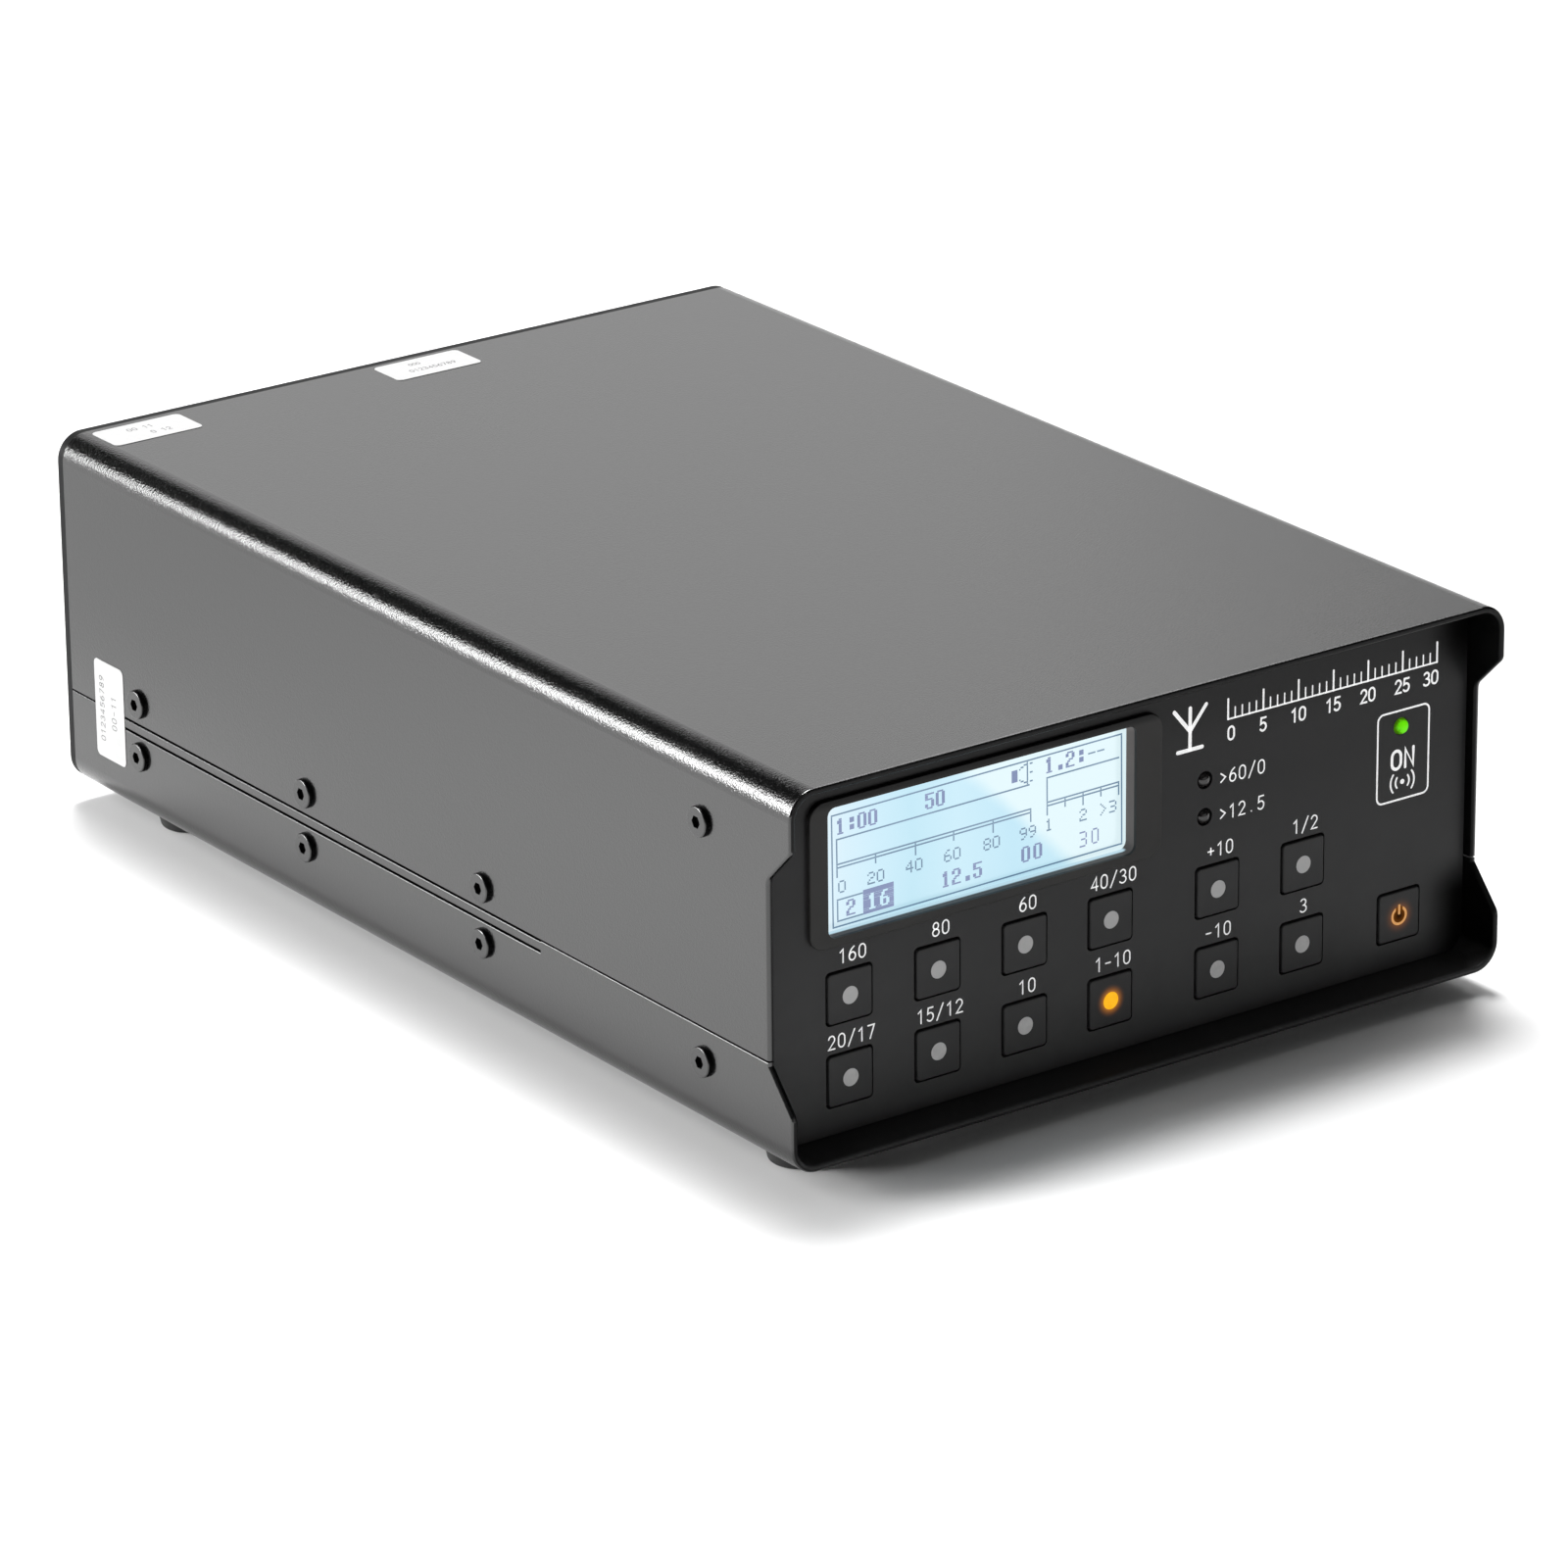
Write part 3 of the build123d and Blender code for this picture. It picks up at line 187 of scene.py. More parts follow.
# ------------------------------------------------------------------ materials
# powder coat with a fine grain; the cut edge of the sheet at the front rim and its inner side are dull
case = Shade("case_powder_coat", IOR=1.74)
case.color(case.ramp(case.noise(900.0, 4.0, 0.65), (0.3, (0.0006, 0.0006, 0.00065)), (0.7, (0.0013, 0.0013, 0.00135))))
_gloss = case.remap(case.noise(2500.0, 2.0, 0.6), 0.3, 0.7, 0.15, 0.20)
_o = case.xyz()
_cut = case.remap(_o[1], (Y_FRONT + 0.02) / 1000, (Y_FRONT + 0.10) / 1000, 1.0, 0.0, smooth=True)
_qx = case.math("SUBTRACT", case.math("ABSOLUTE", _o[0]), CASE_W / 2000 - 0.005)
_qz = case.math("SUBTRACT", case.math("ABSOLUTE", case.math("SUBTRACT", _o[2], at(0, 0, CASE_H / 2).z)), CASE_H / 2000 - 0.005)
_mx, _mz = case.math("MAXIMUM", _qx, 0.0), case.math("MAXIMUM", _qz, 0.0)
_len = case.math("SQRT", case.math("ADD", case.math("MULTIPLY", _mx, _mx), case.math("MULTIPLY", _mz, _mz)))
_deep = case.math("ADD", _len, case.math("MINIMUM", case.math("MAXIMUM", _qx, _qz), 0.0))
_inner = case.remap(_deep, 0.0042, 0.0047, 1.0, 0.0, smooth=True)
_cut = case.math("MAXIMUM", _cut, _inner)
# painted light: the inner face of the bottom sheet, behind the front lip, is painted a paler grey than the rest of the
# coat
_lip_painted_light = case.math("MULTIPLY", _inner, case.remap(_o[2], at(0, 0, 2.0).z, at(0, 0, 4.0).z, 1.0, 0.0))
case.color(case.mix(_lip_painted_light, case.b.inputs["Base Color"].links[0].from_socket, (0.038, 0.038, 0.0385)))
case.rough(case.math("MAXIMUM", _gloss, case.math("MULTIPLY", _cut, 0.42)))
case.link(case.remap(_cut, 0.0, 1.0, 0.5, 0.09), case.b.inputs["Specular IOR Level"])
_curved = case.remap(case.math("MINIMUM", _mx, _mz), 0.0001, 0.0010, 0.40, 1.0)
case.bump(case.math("MULTIPLY", case.math("SUBTRACT", case.noise(2900.0, 1.0, 0.5), 0.5), _curved), 0.000062)

panel = Shade("panel_satin_black", IOR=1.24)
_grain = panel.ramp(panel.noise(120.0, 4.0, 0.6), (0.3, (0.040, 0.040, 0.0405)), (0.7, (0.046, 0.046, 0.0465)))
_o = panel.xyz()
# painted shade: the coat is painted darker from the lower panel upwards, and darker still near the top as a painted
# shadow of the hood
_upper_painted_shade = panel.remap(_o[2], at(0, 0, 8).z, at(0, 0, 44).z, 0.0, 1.0)
_brow_painted_hood_shadow = panel.remap(_o[2], at(0, 0, 50).z, at(0, 0, 61).z, 0.0, 1.0, smooth=True)
# painted shade: near the right wall, above and below the cut-back, the panel is painted near-black with less gloss, as
# painted corner shade
_nook_painted_corner_shade = panel.math("MAXIMUM", _brow_painted_hood_shadow, panel.remap(_o[2], at(0, 0, 18).z, at(0, 0, 12).z, 0.0, 1.0, smooth=True))
_nook_painted_corner_shade = panel.math("MULTIPLY", _nook_painted_corner_shade, panel.remap(_o[0], 0.064, 0.073, 0.0, 0.95, smooth=True))
_coat_with_painted_shade = panel.mix(_brow_painted_hood_shadow, panel.mix(_upper_painted_shade, _grain, (0.019, 0.019, 0.0195)), (0.010, 0.010, 0.0103))
panel.color(panel.mix(_nook_painted_corner_shade, _coat_with_painted_shade, (0.0012, 0.0012, 0.0012)))
panel.link(panel.remap(_nook_painted_corner_shade, 0.0, 1.0, 0.5, 0.1), panel.b.inputs["Specular IOR Level"])
panel.rough(panel.remap(panel.noise(300.0, 3.0, 0.6, panel.mapped((0.15, 1.0, 1.0))), 0.3, 0.7, 0.33, 0.4))
panel.bump(panel.noise(2600.0, 2.0, 0.6), 0.000012)

rear = mottled("rear_anodised_black", (0.004, 0.004, 0.0043), (0.007, 0.007, 0.0073), 0.5, 0.05, 2400.0, 0.00001, IOR=1.2)
sink = mottled("sink_anodised_black", (0.010, 0.010, 0.0105), (0.016, 0.016, 0.0165), 0.4, 0.06, 2200.0, 0.00001)
bezel = mottled("bezel_moulding", (0.023, 0.0225, 0.022), (0.029, 0.028, 0.027), 0.42, 0.04, 2400.0, 0.00001, 90.0, IOR=1.25)
_o = bezel.xyz()
_body = bezel.b.inputs["Base Color"].links[0].from_socket
# painted shadow: the face just above the window is painted near-black, where the hood's shade falls
_above_painted_hood_shadow = bezel.remap(_o[2], at(0, 0, WIN_Z1 - 0.5).z, at(0, 0, WIN_Z1 + 1.0).z, 0.0, 1.0, smooth=True)
# painted light: the window sleeve is painted a pale warm grey where the backlight falls on it, and its bottom wall next
# to the display glows pale blue as painted backlight
_sleeve_painted_backlight = bezel.remap(_o[1], at(0, PANEL_Y - 0.45, 0).y, at(0, PANEL_Y - 0.15, 0).y, 0.0, 1.0, smooth=True)
_rim = bezel.math("MAXIMUM", bezel.remap(_o[0], at(WIN_X1 + 0.15, 0, 0).x, at(WIN_X1 + 0.35, 0, 0).x, 0.0, 1.0), bezel.remap(_o[0], at(WIN_X0 - 0.15, 0, 0).x, at(WIN_X0 - 0.35, 0, 0).x, 0.0, 1.0))
_rim = bezel.math("MAXIMUM", _rim, bezel.math("MAXIMUM", bezel.remap(_o[2], at(0, 0, WIN_Z1 + 0.15).z, at(0, 0, WIN_Z1 + 0.35).z, 0.0, 1.0), bezel.remap(_o[2], at(0, 0, WIN_Z0 - 0.15).z, at(0, 0, WIN_Z0 - 0.35).z, 0.0, 1.0)))
_sleeve_painted_backlight = bezel.math("MULTIPLY", _sleeve_painted_backlight, bezel.math("SUBTRACT", 1.0, _rim))
_painted_backlight_glow = bezel.math("MULTIPLY", bezel.remap(_o[1], at(0, 9.0, 0).y, at(0, 9.35, 0).y, 0.0, 1.0), bezel.remap(_o[2], at(0, 0, WIN_Z0 + 0.1).z, at(0, 0, WIN_Z0 + 0.3).z, 1.0, 0.0))
_painted_backlight_glow = bezel.math("MULTIPLY", _painted_backlight_glow, _sleeve_painted_backlight)
bezel.link(bezel.mix(_painted_backlight_glow, (0, 0, 0), (0.42, 0.62, 0.72)), bezel.b.inputs["Emission Color"])
bezel.set("Emission_Strength", 1.0)
bezel.color(bezel.mix(_sleeve_painted_backlight, bezel.mix(_above_painted_hood_shadow, _body, (0.003, 0.003, 0.003)), (0.165, 0.138, 0.130)))
keys = mottled("key_moulding", (0.023, 0.023, 0.0235), (0.028, 0.028, 0.0285), 0.42, 0.04, 3200.0, 0.000014, 200.0, IOR=1.28)


def lower_row_painted_light(s):
    """The caps of the lower row are painted a little paler than the upper ones, as painted light."""
    low = s.remap(s.xyz()[2], at(0, 0, 17).z, at(0, 0, 19).z, 1.0, 0.0)
    s.color(s.mix(low, s.b.inputs["Base Color"].links[0].from_socket, (0.034, 0.034, 0.0345)))


lower_row_painted_light(keys)


def glowing_key(name, x, z, ring, reach, colour):
    """The key moulding, with the lamp's light soaking into it round the window."""
    s = mottled(name, (0.023, 0.023, 0.0235), (0.028, 0.028, 0.0285), 0.42, 0.04, 3200.0, 0.000014, 200.0, IOR=1.28)
    lower_row_painted_light(s)
    o = s.xyz()
    c = at(x, 0, z)
    dx, dz = s.math("SUBTRACT", o[0], c.x), s.math("SUBTRACT", o[2], c.z)
    r = s.math("SQRT", s.math("ADD", s.math("MULTIPLY", dx, dx), s.math("MULTIPLY", dz, dz)))
    away = s.math("ABSOLUTE", s.math("SUBTRACT", r, ring / 1000)) if ring > 0 else s.math("MAXIMUM", s.math("SUBTRACT", r, -ring / 1000), 0.0)
    glow = s.math("POWER", s.remap(away, 0.0, reach / 1000, 1.0, 0.0), 2.5)
    s.link(s.mix(glow, (0, 0, 0), colour), s.b.inputs["Emission Color"])
    s.b.inputs["Emission Strength"].default_value = 1.0
    if ring > 0:
        inside = s.remap(r, (ring + 0.05) / 1000, (ring + 0.5) / 1000, 1.0, 0.0, smooth=True)
        s.color(s.mix(inside, s.b.inputs["Base Color"].links[0].from_socket, (0.004, 0.001, 0.0)))
        s.link(s.remap(inside, 0.0, 1.0, 0.5, 0.06), s.b.inputs["Specular IOR Level"])
    return s


key_amber = glowing_key("key_moulding_lit", LEFT_KEYS_X[3], ROW_Z[1], -1.5, 1.7, (0.42, 0.13, 0.004))
key_power = glowing_key("power_key_moulding", POWER_X, ROW_Z[1], 1.45, 2.2, (0.16, 0.045, 0.002))

window = mottled("window_milky", (0.47, 0.47, 0.47), (0.55, 0.55, 0.545), 0.38, 0.05, 1500.0, 0.00001, 900.0)
# painted shade: the windows of the upper row are painted greyer than those of the lower row
_upper_row_painted_shade = window.remap(window.xyz()[2], at(0, 0, 17).z, at(0, 0, 19).z, 0.0, 0.75)
window.color(window.mix(_upper_row_painted_shade, window.b.inputs["Base Color"].links[0].from_socket, (0.40, 0.40, 0.398)))

window_lit = Shade("window_amber_lit", Base_Color=(0.15, 0.07, 0.004), Roughness=0.35, IOR=1.2, Emission_Strength=1.0)
window_lit.link(window_lit.ramp(window_lit.noise(900.0, 2.0), (0.3, (0.88, 0.41, 0.007)), (0.7, (0.96, 0.49, 0.014))), window_lit.b.inputs["Emission Color"])
symbol_lit = Shade("power_symbol_lit", Base_Color=(0.2, 0.08, 0.02), Roughness=0.4, IOR=1.25, Emission_Strength=1.0)
symbol_lit.link(symbol_lit.ramp(symbol_lit.noise(2500.0, 2.0), (0.3, (0.50, 0.245, 0.08)), (0.7, (0.60, 0.31, 0.11))), symbol_lit.b.inputs["Emission Color"])

led_dark = Shade("led_smoked", Base_Color=(0.01, 0.009, 0.009), Roughness=0.12, IOR=1.55)
led_dark.color(led_dark.ramp(led_dark.noise(1500.0, 2.0), (0.3, (0.008, 0.007, 0.007)), (0.7, (0.016, 0.014, 0.014))))

led_green = Shade("led_green_lit", Base_Color=(0.01, 0.05, 0.001), Roughness=0.14, IOR=1.2, Emission_Strength=1.0)
_o = led_green.xyz()
_c = at(59.1, 0, 45.6)
_dx, _dz = led_green.math("SUBTRACT", _o[0], _c.x - 0.0001), led_green.math("SUBTRACT", _o[2], _c.z + 0.0001)
_r = led_green.math("SQRT", led_green.math("ADD", led_green.math("MULTIPLY", _dx, _dx), led_green.math("MULTIPLY", _dz, _dz)))
_spark = led_green.math("MULTIPLY", led_green.noise(1300.0, 2.0, 0.6), 0.0009)
led_green.link(led_green.ramp(led_green.remap(led_green.math("ADD", _r, _spark), 0.0002, 0.0021, 0.0, 1.0),
                              (0.0, (0.16, 0.78, 0.002)), (0.30, (0.15, 0.80, 0.003)), (0.62, (0.12, 0.66, 0.004)), (0.82, (0.05, 0.16, 0.002)), (1.0, (0.022, 0.055, 0.002))),
               led_green.b.inputs["Emission Color"])

# backlit display: pale blue, uneven across and a little brighter at the left edge, with a painted reflection as a paler
# diagonal field at the right
lcd = Shade("display_backlight", Base_Color=(0.03, 0.04, 0.05), Roughness=0.16, IOR=1.6, Emission_Strength=1.0)
_o = lcd.xyz()
_u = lcd.remap(_o[0], at(WIN_X0, 0, 0).x, at(WIN_X1, 0, 0).x, 0.0, 1.0)
_v = lcd.remap(_o[2], at(0, 0, WIN_Z0).z, at(0, 0, WIN_Z1).z, 0.0, 0.37)
_w = lcd.math("ADD", _u, lcd.math("MULTIPLY", lcd.math("SUBTRACT", lcd.noise(60.0, 2.0), 0.5), 0.08))
_painted_reflection = lcd.remap(lcd.math("ADD", _w, _v), 0.785, 0.865, 0.0, 1.0, smooth=True)
_field = lcd.ramp(_w, (0.0, (0.70, 0.81, 0.86)), (0.08, (0.60, 0.78, 0.87)), (0.17, (0.54, 0.76, 0.865)), (0.30, (0.47, 0.72, 0.83)),
                  (0.45, (0.53, 0.76, 0.86)), (0.62, (0.47, 0.72, 0.84)), (1.0, (0.50, 0.74, 0.84)))
lcd.link(lcd.mix(_painted_reflection, _field, (0.70, 0.85, 0.885)), lcd.b.inputs["Emission Color"])

lcd_ink = Shade("display_segments", Base_Color=(0.03, 0.03, 0.05), Roughness=0.16, IOR=1.6, Emission_Strength=1.0)
lcd_ink.link(lcd_ink.ramp(lcd_ink.noise(120.0, 1.0), (0.35, (0.145, 0.20, 0.37)), (0.65, (0.19, 0.235, 0.42))), lcd_ink.b.inputs["Emission Color"])
lcd_line = Shade("display_lines", Base_Color=(0.03, 0.03, 0.05), Roughness=0.16, IOR=1.6, Emission_Strength=1.0)
lcd_line.link(lcd_line.ramp(lcd_line.noise(120.0, 1.0), (0.35, (0.10, 0.19, 0.29)), (0.65, (0.14, 0.24, 0.35))), lcd_line.b.inputs["Emission Color"])

# painted light: the white print has a faint emission, a painted glow, though it is no lamp
ink = Shade("silk_screen_white_painted_glow", Roughness=0.55, Emission_Color=(1.0, 1.0, 1.0), Emission_Strength=0.30)
ink.color(ink.ramp(ink.noise(1400.0, 3.0, 0.7), (0.25, (0.76, 0.76, 0.76)), (0.6, (0.86, 0.86, 0.86))))
ink.bump(ink.noise(5000.0, 1.0), 0.000006)
ink_grey = Shade("label_print_grey", Roughness=0.6)
ink_grey.color(ink_grey.ramp(ink_grey.noise(2500.0, 2.0, 0.7), (0.3, (0.10, 0.10, 0.10)), (0.7, (0.15, 0.15, 0.15))))

rubber = mottled("foot_rubber", (0.010, 0.010, 0.010), (0.018, 0.018, 0.018), 0.62, 0.06, 1200.0, 0.00003, 150.0)
screw = mottled("screw_black_oxide", (0.002, 0.002, 0.0021), (0.004, 0.004, 0.0042), 0.25, 0.03, 4200.0, 0.000006, 300.0, IOR=1.68)
paper = mottled("label_paper", (0.41, 0.41, 0.41), (0.45, 0.45, 0.448), 0.5, 0.05, 900.0, 0.000012, 200.0)
# painted light: the labels on the top are painted paler than the one on the side
_top_painted_light = paper.remap(paper.xyz()[2], at(0, 0, 64).z, at(0, 0, 66).z, 0.0, 1.0)
paper.color(paper.mix(_top_painted_light, paper.b.inputs["Base Color"].links[0].from_socket, (0.475, 0.475, 0.475)))

steel = Shade("bright_steel", Base_Color=(0.55, 0.55, 0.56), Metallic=1.0)
steel.rough(steel.remap(steel.noise(500.0, 4.0, 0.6), 0.3, 0.7, 0.22, 0.36))
steel.bump(steel.noise(1800.0, 2.0), 0.000008)
chrome = Shade("bright_wire", Base_Color=(0.62, 0.62, 0.63), Metallic=1.0)
chrome.rough(chrome.remap(chrome.noise(300.0, 3.0), 0.3, 0.7, 0.10, 0.2))
chrome.bump(chrome.noise(900.0, 2.0), 0.000006)
nickel = Shade("nickel_plate", Base_Color=(0.62, 0.60, 0.56), Metallic=1.0)
nickel.color(nickel.ramp(nickel.noise(240.0, 3.0), (0.3, (0.55, 0.53, 0.49)), (0.7, (0.66, 0.64, 0.60))))
nickel.rough(nickel.remap(nickel.noise(600.0, 3.0), 0.3, 0.7, 0.16, 0.3))
gold = Shade("contact_gold", Base_Color=(0.85, 0.6, 0.25), Metallic=1.0)
gold.color(gold.ramp(gold.noise(300.0, 3.0), (0.3, (0.74, 0.5, 0.2)), (0.7, (0.86, 0.62, 0.28))))
gold.rough(gold.remap(gold.noise(700.0, 3.0), 0.3, 0.7, 0.18, 0.3))
fan = mottled("fan_moulding", (0.010, 0.010, 0.0105), (0.016, 0.016, 0.0165), 0.36, 0.05, 1600.0, 0.000012)
ptfe = mottled("insulator_white", (0.74, 0.73, 0.69), (0.82, 0.81, 0.77), 0.42, 0.05, 700.0, 0.000008)
nylon = mottled("socket_nylon", (0.011, 0.011, 0.011), (0.018, 0.018, 0.018), 0.4, 0.05, 1500.0, 0.000015)
lead = mottled("lead_silicone", (0.28, 0.012, 0.010), (0.36, 0.02, 0.015), 0.48, 0.05, 900.0, 0.00001)
relay = mottled("relay_cover", (0.03, 0.07, 0.22), (0.045, 0.10, 0.28), 0.4, 0.05, 1500.0, 0.00001)
ferrite = mottled("sintered_ferrite", (0.02, 0.02, 0.022), (0.045, 0.045, 0.05), 0.7, 0.08, 700.0, 0.00004, 300.0)
ceramic = mottled("transistor_ceramic", (0.62, 0.60, 0.54), (0.72, 0.70, 0.63), 0.5, 0.05, 1200.0, 0.00001)
switch = mottled("switch_body", (0.02, 0.02, 0.02), (0.03, 0.03, 0.03), 0.45, 0.05, 1500.0, 0.00001)

copper = Shade("enamelled_copper", Base_Color=(0.7, 0.3, 0.13), Metallic=0.85)
copper.rough(copper.remap(copper.noise(400.0, 3.0), 0.3, 0.7, 0.2, 0.34))
_turns = copper.node("ShaderNodeTexWave", wave_type="BANDS", bands_direction="X")
_turns.inputs["Scale"].default_value = 420.0
_turns.inputs["Distortion"].default_value = 1.5
copper.link(copper.obj, _turns.inputs["Vector"])
copper.color(copper.ramp(_turns.outputs["Fac"], (0.1, (0.22, 0.07, 0.03)), (0.5, (0.72, 0.32, 0.14))))
copper.bump(_turns.outputs["Fac"], 0.0001)


def board(name):
    """Solder resist over copper tracks, with tinned pads."""
    s = Shade(name, Roughness=0.32, IOR=1.5)
    tracks = s.voronoi(260.0, "DISTANCE_TO_EDGE")
    line = s.remap(tracks, 0.02, 0.06, 1.0, 0.0, smooth=True)
    base = s.ramp(s.noise(70.0, 3.0), (0.3, (0.008, 0.055, 0.022)), (0.7, (0.012, 0.075, 0.03)))
    col = s.mix(line, base, (0.03, 0.14, 0.05))
    pads = s.remap(s.voronoi(420.0, "F1"), 0.10, 0.14, 1.0, 0.0, smooth=True)
    s.color(s.mix(pads, col, (0.55, 0.55, 0.52)))
    s.bump(line, 0.00003)
    return s


pcb = board("solder_resist")

_side = screw.math("ABSOLUTE", screw.xyz()[0])
_face = screw.remap(_side, CASE_W / 2000 + 0.00058, CASE_W / 2000 + 0.00074, 0.0, 1.0, smooth=True)
_face = screw.math("MAXIMUM", _face, screw.remap(_side, 0.0740, 0.0735, 0.0, 1.0))
screw.link(screw.remap(_face, 0.0, 1.0, 0.05, 0.5), screw.b.inputs["Specular IOR Level"])

PAINT = {
    "top_cover": case, "bottom_cover": case, "front_panel": panel, "rear_panel": rear, "display_bezel": bezel,
    "lcd_module": steel, "front_board": pcb, "tact_switches": switch, "board_spacers": steel, "board_screws": steel,
    "status_leds": led_dark, "transmit_led": led_green, "heat_sink": sink, "pa_board": pcb, "power_transistors": ceramic,
    "rf_transformers": ferrite, "filter_board": pcb, "filter_coils": copper, "band_relays": relay, "fan_frames": fan,
    "fan_rotor_left": fan, "fan_rotor_right": fan, "fan_guards": chrome, "fan_screws": steel, "coax_shells": nickel,
    "coax_insulators": ptfe, "socket_contacts": gold, "dc_socket": nylon, "ground_stud": nickel, "control_jacks": nickel,
    "feet": rubber, "case_screws": screw, "blank_labels": paper, "internal_leads": lead, "power_symbol": symbol_lit,
    "power_key": key_power,
}
for i in range(1, 9):
    PAINT[f"band_key_{i}"] = key_amber if i == 8 else keys
    PAINT[f"band_key_window_{i}"] = window_lit if i == 8 else window
for i in range(1, 5):
    PAINT[f"menu_key_{i}"] = keys
    PAINT[f"menu_key_window_{i}"] = window
for node_name, obj in NODES.items():
    shade = PAINT[node_name]
    for slot_ in obj.material_slots:
        slot_.material = shade.m


# ------------------------------------------------------------------ flat artwork as thin solids
class Sheet:
    """A plane that artwork is laid on: u to the right, v up, seen from outside."""

    def __init__(self, origin, u, v):
        self.o, self.u, self.v = Vector(origin), Vector(u).normalized(), Vector(v).normalized()
        self.n = self.u.cross(self.v)

    def p(self, a, b, out=0.0):
        return self.o + self.u * (a / 1000) + self.v * (b / 1000) + self.n * (out / 1000)


FRONT = Sheet(at(0, PANEL_Y, 0), (1, 0, 0), (0, 0, 1))
REAR = Sheet(at(0, CASE_D, 0), (-1, 0, 0), (0, 0, 1))
TOP = Sheet(at(0, 0, CASE_H + 0.082), (1, 0, 0), (0, 1, 0))
LEFT = Sheet(at(-CASE_W / 2 - 0.082, 0, 0), (0, 0, 1), (0, 1, 0))


def ribbon(bm, sheet, pts, width, closed=False, top=0.03, base=-0.02, caps=6):
    """A stroke of even width with round ends, as a thin solid."""
    pts = [Vector(p) for p in pts]
    clean = [pts[0]]
    for p in pts[1:]:
        if (p - clean[-1]).length > 1e-4:
            clean.append(p)
    if closed and (clean[0] - clean[-1]).length < 1e-4:
        clean.pop()
    n, h = len(clean), width / 2
    left, right = [], []
    for i, p in enumerate(clean):
        if closed:
            d0, d1 = (p - clean[i - 1]).normalized(), (clean[(i + 1) % n] - p).normalized()
        else:
            d1 = (clean[i + 1] - p).normalized() if i < n - 1 else (p - clean[i - 1]).normalized()
            d0 = (p - clean[i - 1]).normalized() if i > 0 else d1
        t = d0 + d1
        t = t.normalized() if t.length > 1e-6 else d1
        nrm = Vector((-t.y, t.x))
        c = max(0.55, nrm.dot(Vector((-d1.y, d1.x))))
        left.append(p + nrm * (h / c))
        right.append(p - nrm * (h / c))
    if not closed:
        def arc(centre, start, sweep):
            a0 = math.atan2(start.y - centre.y, start.x - centre.x)
            return [Vector((centre.x + h * math.cos(a0 + sweep * k / caps), centre.y + h * math.sin(a0 + sweep * k / caps))) for k in range(1, caps)]
        outline = left + arc(clean[-1], left[-1], -math.pi) + right[::-1] + arc(clean[0], right[0], -math.pi)
        rings = [outline]
    else:
        rings = [left, right]
    layer = {}

    def vert(q, level):
        k = (round(q.x, 5), round(q.y, 5), level)
        if k not in layer:
            layer[k] = bm.verts.new(sheet.p(q.x, q.y, level))
        return layer[k]

    def face(vs):
        out = []
        for v in vs:
            if not out or out[-1] is not v:
                out.append(v)
        if len(out) > 2 and out[0] is out[-1]:
            out.pop()
        if len(set(out)) == len(out) and len(out) > 2:
            try:
                bm.faces.new(out)
            except ValueError:
                pass

    span = range(n) if closed else range(n - 1)
    for i in span:
        j = (i + 1) % n
        face([vert(left[i], top), vert(right[i], top), vert(right[j], top), vert(left[j], top)])
        face([vert(left[i], base), vert(left[j], base), vert(right[j], base), vert(right[i], base)])
    if closed:
        for i in span:
            j = (i + 1) % n
            face([vert(left[i], top), vert(left[j], top), vert(left[j], base), vert(left[i], base)])
            face([vert(right[i], top), vert(right[i], base), vert(right[j], base), vert(right[j], top)])
    else:
        end = [left[-1]] + arc(clean[-1], left[-1], -math.pi) + [right[-1]]
        start = [right[0]] + arc(clean[0], right[0], -math.pi) + [left[0]]
        for loop in (end, start):
            face([vert(q, top) for q in loop][::-1])
            face([vert(q, base) for q in loop])
        m = len(outline)
        for i in range(m):
            a, b = outline[i], outline[(i + 1) % m]
            face([vert(a, top), vert(b, top), vert(b, base), vert(a, base)])


def bars(bm, sheet, rects, top=0.03, base=-0.02):
    """Rectangles (u0, v0, u1, v1) as thin blocks."""
    for u0, v0, u1, v1 in rects:
        q = [(u0, v0), (u1, v0), (u1, v1), (u0, v1)]
        hi = [bm.verts.new(sheet.p(a, b, top)) for a, b in q]
        lo = [bm.verts.new(sheet.p(a, b, base)) for a, b in q]
        bm.faces.new(hi)
        bm.faces.new(lo[::-1])
        for i in range(4):
            j = (i + 1) % 4
            bm.faces.new([hi[j], hi[i], lo[i], lo[j]])


def plate(bm, sheet, outline, top, base):
    hi = [bm.verts.new(sheet.p(a, b, top)) for a, b in outline]
    lo = [bm.verts.new(sheet.p(a, b, base)) for a, b in outline]
    bm.faces.new(hi)
    bm.faces.new(lo[::-1])
    for i in range(len(outline)):
        j = (i + 1) % len(outline)
        bm.faces.new([hi[j], hi[i], lo[i], lo[j]])


def piece(name, bm, shade, body="root"):
    me = bpy.data.meshes.new(name)
    bmesh.ops.recalc_face_normals(bm, faces=bm.faces)
    bm.to_mesh(me)
    bm.free()
    ob = bpy.data.objects.new(name, me)
    scene.collection.objects.link(ob)
    me.materials.append(shade.m)
    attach(ob, body)
    return ob


def arc_pts(cx, cy, rx, ry, a0, a1, k=14):
    return [(cx + rx * math.cos(math.radians(a0 + (a1 - a0) * i / k)), cy + ry * math.sin(math.radians(a0 + (a1 - a0) * i / k))) for i in range(k + 1)]


def quad_pts(a, b, c, k=8):
    return [((1 - t) ** 2 * a[0] + 2 * t * (1 - t) * b[0] + t * t * c[0], (1 - t) ** 2 * a[1] + 2 * t * (1 - t) * b[1] + t * t * c[1]) for t in [i / k for i in range(k + 1)]]


def rounded(x0, y0, x1, y1, r, k=8):
    out = []
    for cx, cy, a in ((x1 - r, y1 - r, 0), (x0 + r, y1 - r, 90), (x0 + r, y0 + r, 180), (x1 - r, y0 + r, 270)):
        out += arc_pts(cx, cy, r, r, a, a + 90, k)
    return out


